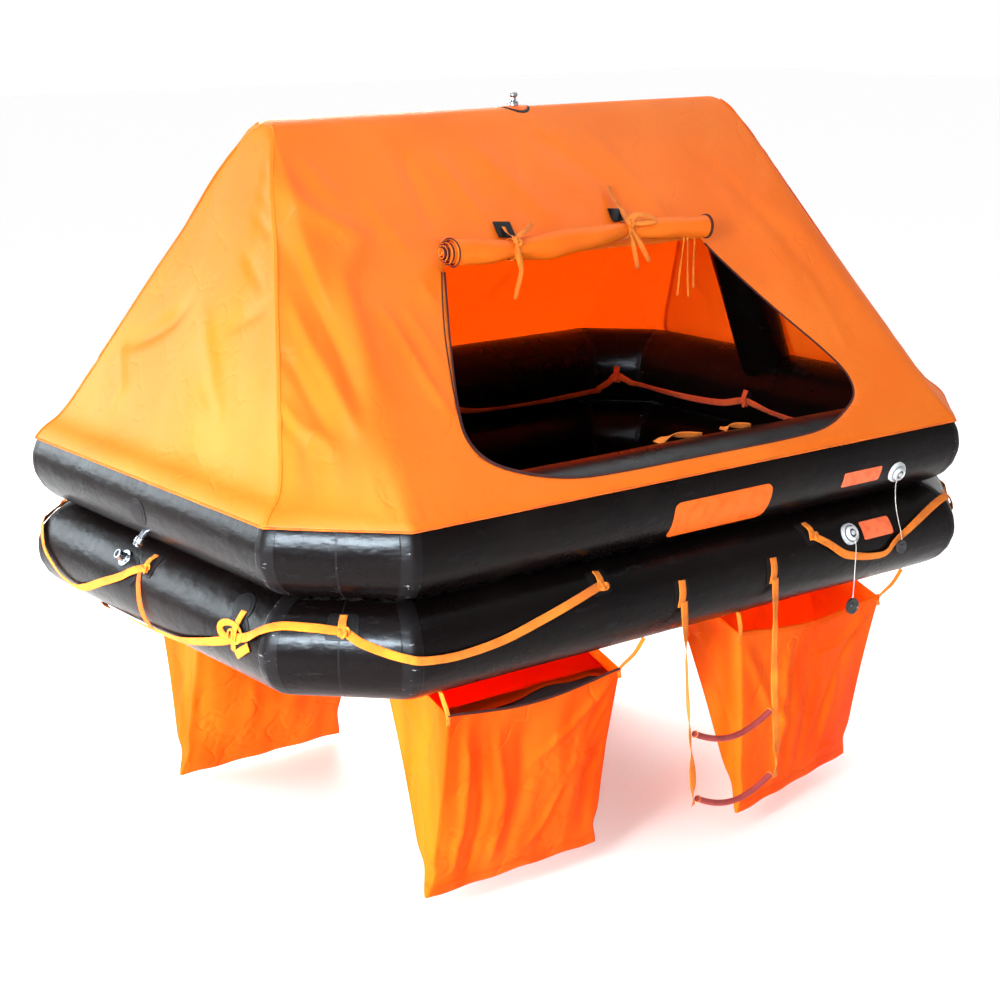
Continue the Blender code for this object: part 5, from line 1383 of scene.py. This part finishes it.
def ladderPieces():
    # straps hang as ribbons with a slow twist; rungs are bent rods between them
    drop = np.linspace(0, ladder["drop"], 120)
    for name, (x, lean, turns) in ladderStraps.items():
        twist = sum(angle * np.exp(-((drop - place) / wide) ** 2) for place, angle, wide in turns)
        line = np.stack([x + lean * drop / ladder["leanOver"] + 0.002 * np.sin(drop * 14),
                         ladder["y"] + 0.002 * np.sin(drop * 9), ladder["top"] - drop], -1)
        part = strap(line, (0, -1, 0), ladder["width"], ladder["thick"], twist)
        makePiece("ladderStrap" + name, [part], "webbing", "ladder_strap_" + name.lower(), body="ladder")
    wraps = []
    for name in ("Upper", "Lower"):
        low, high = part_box("ladder_rung_" + name.lower())
        xa, xb = low.x + 0.002, high.x - 0.002
        share = np.linspace(0, 1, 60)
        z = high.z - 0.0095 - (high.z - low.z - 0.019) * np.sin(np.pi * share) ** 0.9
        line = np.stack(np.broadcast_arrays(xa + (xb - xa) * share, ladder["y"], z), -1)
        radius = ladder["rungRadius"] * np.minimum(1, 0.75 + 12 * np.minimum(share, 1 - share))
        makePiece("ladderRung" + name, [rod(line, radius, 24)], "rung", "ladder_rung_" + name.lower(),
                  body="ladder", soft=50)
        # webbing wrapped round the rung where a strap ends on it
        for at in (1, -2):
            wraps.append(ring(line[at], tangentsOf(line)[at] + (0, 0.2, 0), 0.0092, 0.0019, 30, 8))
    makePiece("ladderWraps", wraps, "webbing", body="ladder")


ladderPieces()
print("ladder made")

# signs, labels and patches as films that follow the tube; name, node, finish, height of the tube's middle,
# degrees of the lower and upper edge, corner

filmRows = (("boardingSign", "boarding_sign", "sign", upperZ, -50, 2, 0.022),
            ("labelUpper", "label_upper", "label", upperZ, -27, -7, 0.006),
            ("labelLower", "label_lower", "label", lowerZ, 14, 38, 0.006))
# round patches: place, degrees, height of the tube's middle, size
roundPatches = ((7.505, -9.5, upperZ, 0.084), (7.889, 44, lowerZ, 0.09), (7.433, 25, lowerZ, 0.096))
bridlePlace = 7.895


def films():
    for name, node, look, centreZ, bottom, top, corner in filmRows:
        low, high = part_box(node)
        degrees = (top + bottom) / 2
        height = math.radians(top - bottom) * tubeRadius
        run = frontRun(middleX(node), degrees)
        part = tubeFilm(run, degrees, high.x - low.x, height, centreZ, 0.0013, corner)
        makePiece(name, [part], look, node, soft=40)
    strips = []
    for name, (x, *_) in ladderStraps.items():
        run = frontRun(x) - 0.004
        pad = tubeFilm(run, 3.5, 0.052, 0.086, lowerZ, 0.0009, 0.006)
        makePiece("ladderPatch" + name, [pad], "rubber", "ladder_patch_" + name.lower(), soft=40)
        strips.append(stripOn(run, 4.5, 0.078, 0.026, lowerZ, 0.08, 0.0015))
    makePiece("ladderPatchStrips", strips, "webbing")


def webbingPatches():
    # two pads under a webbing strip and a knot at each place that holds a lifeline
    pads, strips, knots, inner = [], [], [], []
    spots = [(runOf(place), degrees) for place, degrees in outerPatches]
    along, degrees = web["valvePatch"]
    spots.append((frontRun(middleX("valve_lower") + along, degrees), degrees))
    for index, (run, degrees) in enumerate(spots):
        lean = 0.12 * math.sin(index * 2.3)
        for wide, high, thick, corner in padRows:
            pads.append(tubeFilm(run, degrees + 5, wide, high, lowerZ, thick, corner, lean))
        strips.append(stripOn(run, degrees + 6, 0.062, 0.022, lowerZ, lean, 0.0075))
        place = softTube(run + 0.004, degrees - 2, lowerZ, tubeRadius + 0.005)
        knots.append(knot(place, 0.013, 0.011, tubeNormal(run, degrees), index * 1.1))
    for run in runOf(innerPatches):
        pads.append(tubeFilm(run, 186, 0.056, 0.066, upperZ, 0.0014, 0.006))
        inner.append(stripOn(run, 184, 0.06, 0.022, upperZ, 0.05, 0.0085))
        place = softTube(run, 191, upperZ, tubeRadius + 0.006)
        inner.append(knot(place, 0.012, 0.011, tubeNormal(run, 191), place[0] * 7))
    makePiece("webbingPads", pads, "rubber", soft=40)
    makePiece("webbingStrips", strips + knots, "webbing")
    makePiece("innerStrips", inner, "redWebbing")


def bridleFittings():
    # round rubber patches, two crossed strips with an eye, and the narrow red link up to the lifeline
    run = runOf(bridlePlace)
    discs = [tubeFilm(run, 12, 0.118, 0.118, lowerZ, 0.0012, 0.0589),
             tubeFilm(run, 12, 0.094, 0.094, lowerZ, 0.0022, 0.0469)]
    for place, degrees, centreZ, size in roundPatches:
        for share, thick, corner in ((1, 0.0011, 0.499), (0.72, 0.0018, 0.359)):
            wide = size * share
            discs.append(tubeFilm(runOf(place), degrees, wide, wide, centreZ, thick, size * corner))
    makePiece("roundPatches", discs, "rubber", "bridle_patch", soft=40)
    turn = np.linspace(0, math.tau, 64)
    eyeRun, eyeAngle = run - 0.022 + 0.052 * np.cos(turn), 13 + np.degrees(0.022 * np.sin(turn) / tubeRadius)
    eye = softTube(eyeRun, eyeAngle, lowerZ, tubeRadius + 0.0055, 0.003)
    place, axis = softTube(run - 0.016, 11, lowerZ, tubeRadius + 0.0105), tubeNormal(run - 0.016, 11)
    parts = [stripOn(run - 0.002, 16, 0.118, 0.025, lowerZ, 0.16, 0.007),
             stripOn(run + 0.03, -3, 0.075, 0.025, lowerZ, 1, 0.004),
             strap(eye, tubeNormal(eyeRun, eyeAngle), 0.019, 0.002, 0.5),
             ring(place, axis, 0.0135, 0.0034, 36, 10)]
    makePiece("bridleStrips", parts, "webbing")
    link = runRows("link")
    line, normals, _ = webLine(link, [link[0][0]], lowerZ, 70, 0.007)
    twist = 0.9 * np.sin(np.linspace(0, 3.1, 70))
    makePiece("bridleLink", [strap(line, normals, 0.014, 0.002, twist)], "redWebbing")


films()
webbingPatches()
bridleFittings()

# valves, fittings and the ridge lamp: profiles of (radius, height) turned about the tube's normal

profiles = {
    "flange": ((0, -0.004), (0.034, -0.004), (0.034, 0.004), (0.0325, 0.007), (0.026, 0.008),
               (0.0235, 0.0085), (0.022, 0.013), (0.0215, 0.018), (0.0195, 0.0205), (0.016, 0.021),
               (0.0145, 0.0185), (0.0135, 0.0155), (0.008, 0.015), (0.0075, 0.019), (0.0065, 0.0205),
               (0, 0.0205)),
    "core": ((0, 0.0145), (0.0128, 0.0145), (0.0128, 0.0165), (0.0105, 0.0175), (0.0062, 0.0165),
             (0.005, 0.0195), (0, 0.0198)),
    "rim": ((0.0262, 0.0078), (0.0268, 0.0096), (0.0236, 0.0102), (0.023, 0.0088), (0.0262, 0.0078)),
    "inlet": ((0, -0.004), (0.026, -0.004), (0.026, 0.004), (0.0245, 0.006), (0.0165, 0.0065), (0.0143, 0.01),
              (0.0143, 0.022), (0.0132, 0.0225), (0.0132, 0.025), (0.0143, 0.0255), (0.0143, 0.032),
              (0.013, 0.034), (0.0105, 0.034), (0.0098, 0.032), (0.0095, 0.022), (0, 0.021)),
    "hose": ((0, -0.004), (0.012, -0.004), (0.012, 0.016), (0.0125, 0.018), (0.0156, 0.0195), (0.0156, 0.034),
             (0.0146, 0.036), (0.0125, 0.037), (0.0125, 0.043), (0.011, 0.045), (0.0075, 0.045),
             (0.007, 0.04), (0, 0.04)),
    "lamp": ((0, 0), (0.0168, 0), (0.0168, 0.009), (0.0158, 0.011), (0.0108, 0.013), (0.0098, 0.016),
             (0.0098, 0.024), (0.0118, 0.026), (0.0143, 0.029), (0.0148, 0.033), (0.0135, 0.037),
             (0.0105, 0.04), (0.006, 0.0415), (0, 0.042)),
}
# the lamp's patch: share of its radius, share of its thickness
lampFilm = np.array([(0, 1), (0.3, 1), (0.6, 1), (0.85, 1), (0.96, 0.9), (1, 0.5), (1, -0.6)])


def teeth(radius, height, turn):
    # 24 square teeth round the valve's collar
    return radius * (1 + 0.02 * np.sign(np.sin(24 * turn)) * (np.abs(height - 0.0145) < 0.004))


def hexed(radius, height, turn):
    # six flats round the widest stretch
    flats = radius * (0.90 + 0.10 * np.abs(np.cos(3 * turn)) ** 0.4)
    return np.where((radius > 0.0145) & (height < 0.035), flats, radius)


def fittings():
    for name, node, degrees, centreZ in (("valveUpper", "valve_upper", -21, upperZ),
                                         ("valveLower", "valve_lower", 26, lowerZ)):
        run = frontRun(middleX(node), degrees)
        place, axis = onTube(placeAt(run), degrees, centreZ), tubeNormal(run, degrees)
        parts = [turned(profiles["flange"], place, axis, 72, teeth),
                 ring(place + axis * 0.0085, axis, 0.0295, 0.0016, 64, 10)]
        makePiece(name, parts, "valve", node, soft=35)
        makePiece(name + "Core", [turned(profiles["core"], place, axis, 40)], "cap", soft=35)
        rim = turned(profiles["rim"], place, axis, 64)
        makePiece(name + "Ring", [rim], "metal", soft=35)
    for name, node, profile, spot, degrees, centreZ, sides, ripple in (
            ("inflationInlet", "inflation_inlet", "inlet", 7.4, 37, lowerZ, 56, None),
            ("hoseFitting", "hose_fitting", "hose", 7.475, -46, upperZ, 60, hexed)):
        place, axis = onTube(spot, degrees, centreZ), tubeNormal(runOf(spot), degrees)
        part = turned(profiles[profile], place, axis, sides, ripple)
        makePiece(name, [part], "metal", node, soft=30)
    low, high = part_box("lamp_patch")
    size = (high.y - low.y) / 2
    turn = np.linspace(0, math.tau, 73)[None, :]
    share, rise = lampFilm[:, :1], lampFilm[:, 1:]
    for name, look, radius, thick, node in (("lampPatch", "rubber", size - 0.0006, 0.0026, "lamp_patch"),
                                            ("lampPatchTop", "sign", size * 0.86, 0.0036, "")):
        x = middleX("lamp_patch") + radius * 0.93 * share * np.cos(turn)
        y = radius * share * np.sin(turn)
        arc = np.sqrt(canopy["arcRadius"] ** 2 - y ** 2)
        z = canopy["ridgeZ"] - canopy["arcRadius"] + arc + rise * thick
        part = gridPart(np.stack([x, y, z], -1), x, y)
        makePiece(name, [part], look, node, soft=40)
    foot = (middleX("ridge_lamp"), 0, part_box("ridge_lamp")[0].z)
    part = turned(profiles["lamp"], foot, (0, 0, 1), 56)
    makePiece("ridgeLamp", [part], "metal", "ridge_lamp", soft=35)


fittings()
print("fittings made")

# floor, light and background

studio = {
    "floorZ": -0.80, "floorSize": 40, "pale": (0.95, 0.95, 0.95),
    # the sky's brightness by height: pale near the horizon, dimmer above it so that the rubber stays dark,
    # bright again overhead
    "sky": ((0, 1), (0.1, 0.94), (0.33, 0.42), (0.72, 0.58), (0.86, 1.9), (1, 1.9)),
    # name, place, aim, size, power, colour, spread in degrees, seen in reflections, lights matt surfaces
    "lights": (
        ("leftFront", (-4.7, -3, 2.2), (-1, -0.6, 0.6), (1.3, 1.9), 250, (1, 0.99, 0.97), 180, False, True),
        ("leftGleam", (-4.7, -3, 2.2), (-1, -0.6, 0.6), (0.7, 0.6), 340, (0.8, 0.92, 1), 180, True, False),
        ("leftLow", (-5, -1.3, -0.25), (-0.95, -0.1, -0.5), (1.6, 0.8), 84, (1, 0.98, 0.96), 60, False, True),
        ("behindLow", (2.4, 4.2, -0.15), (0, -0.4, -0.45), (2.4, 0.9), 60, (1, 0.97, 0.92), 60, False, True),
        ("gleam", (-4.3, -2.85, 1.95), (-1, -0.9, 0.3), (0.9, 0.8), 640, (0.76, 0.9, 1), 180, True, False),
        ("sillGleam", (2.4, -0.15, 3.65), (0.1, -0.8, 0.5), (2.4, 0.7), 32, (0.9, 0.96, 1), 180, True, False),
        ("behindLeft", (-3.3, 3.5, 1.3), (-0.8, 0.1, 0.6), (3, 1.5), 184, (0.82, 0.94, 1), 180, True, True),
        ("behind", (1.6, 4.6, 3.4), (0, 0.3, 0.9), (3, 3), 520, (1, 0.98, 0.95), 180, True, True)),
}


def addGround():
    half = studio["floorSize"]
    mesh = bpy.data.meshes.new("paleFloor")
    corners = ((-half, -half), (half, -half), (half, half), (-half, half))
    mesh.from_pydata([(x, y, studio["floorZ"]) for x, y in corners], [], [(0, 1, 2, 3)])
    pale = Finish("paleFloor", Roughness=0.9)
    pale.wire(Base_Color=studio["pale"])
    mesh.materials.append(pale.made)
    addObject("paleFloor", mesh)


def addSky():
    world = bpy.data.worlds.new("studio")
    bpy.context.scene.world = world
    world.use_nodes = True
    nodes, links = world.node_tree.nodes, world.node_tree.links
    kinds = ("ShaderNodeTexCoord", "ShaderNodeSeparateXYZ", "ShaderNodeValToRGB")
    direction, split, ramp = (nodes.new(kind) for kind in kinds)
    stops = ramp.color_ramp.elements
    for index, (height, level) in enumerate(studio["sky"]):
        stop = stops[index] if index < 2 else stops.new(height)
        stop.position = height
        stop.color = (level, level, level, 1)
    links.new(direction.outputs["Generated"], split.inputs[0])
    links.new(split.outputs["Z"], ramp.inputs[0])
    links.new(ramp.outputs[0], nodes["Background"].inputs[0])
    nodes["Background"].inputs[1].default_value = 1


def addLights():
    for name, place, aim, size, power, colour, spread, glossy, matt in studio["lights"]:
        lamp = bpy.data.lights.new(name, "AREA")
        lamp.shape = "RECTANGLE"
        lamp.size, lamp.size_y = size
        lamp.energy = power
        lamp.spread = math.radians(spread)
        lamp.color = colour
        placed = addObject(name, lamp)
        facing = (Vector(aim) - Vector(place)).to_track_quat("-Z", "Y").to_matrix().to_4x4()
        placed.matrix_world = Matrix.Translation(place) @ facing
        placed.visible_camera = False
        placed.visible_glossy = glossy
        placed.visible_diffuse = matt
        placed.visible_transmission = matt


addGround()
addSky()
addLights()
bpy.context.scene.view_settings.view_transform = "Standard"

# solids that still show take the first finish of their slot
for record in frame["record"]["materials"]:
    look = finishes[slots[record["slot"]].split()[0]].made
    for name in record.get("nodes", []):
        node = frame["nodes"].get(name)
        if node and not node.hide_render:
            node.data.materials.clear()
            node.data.materials.append(look)

print("scene done")
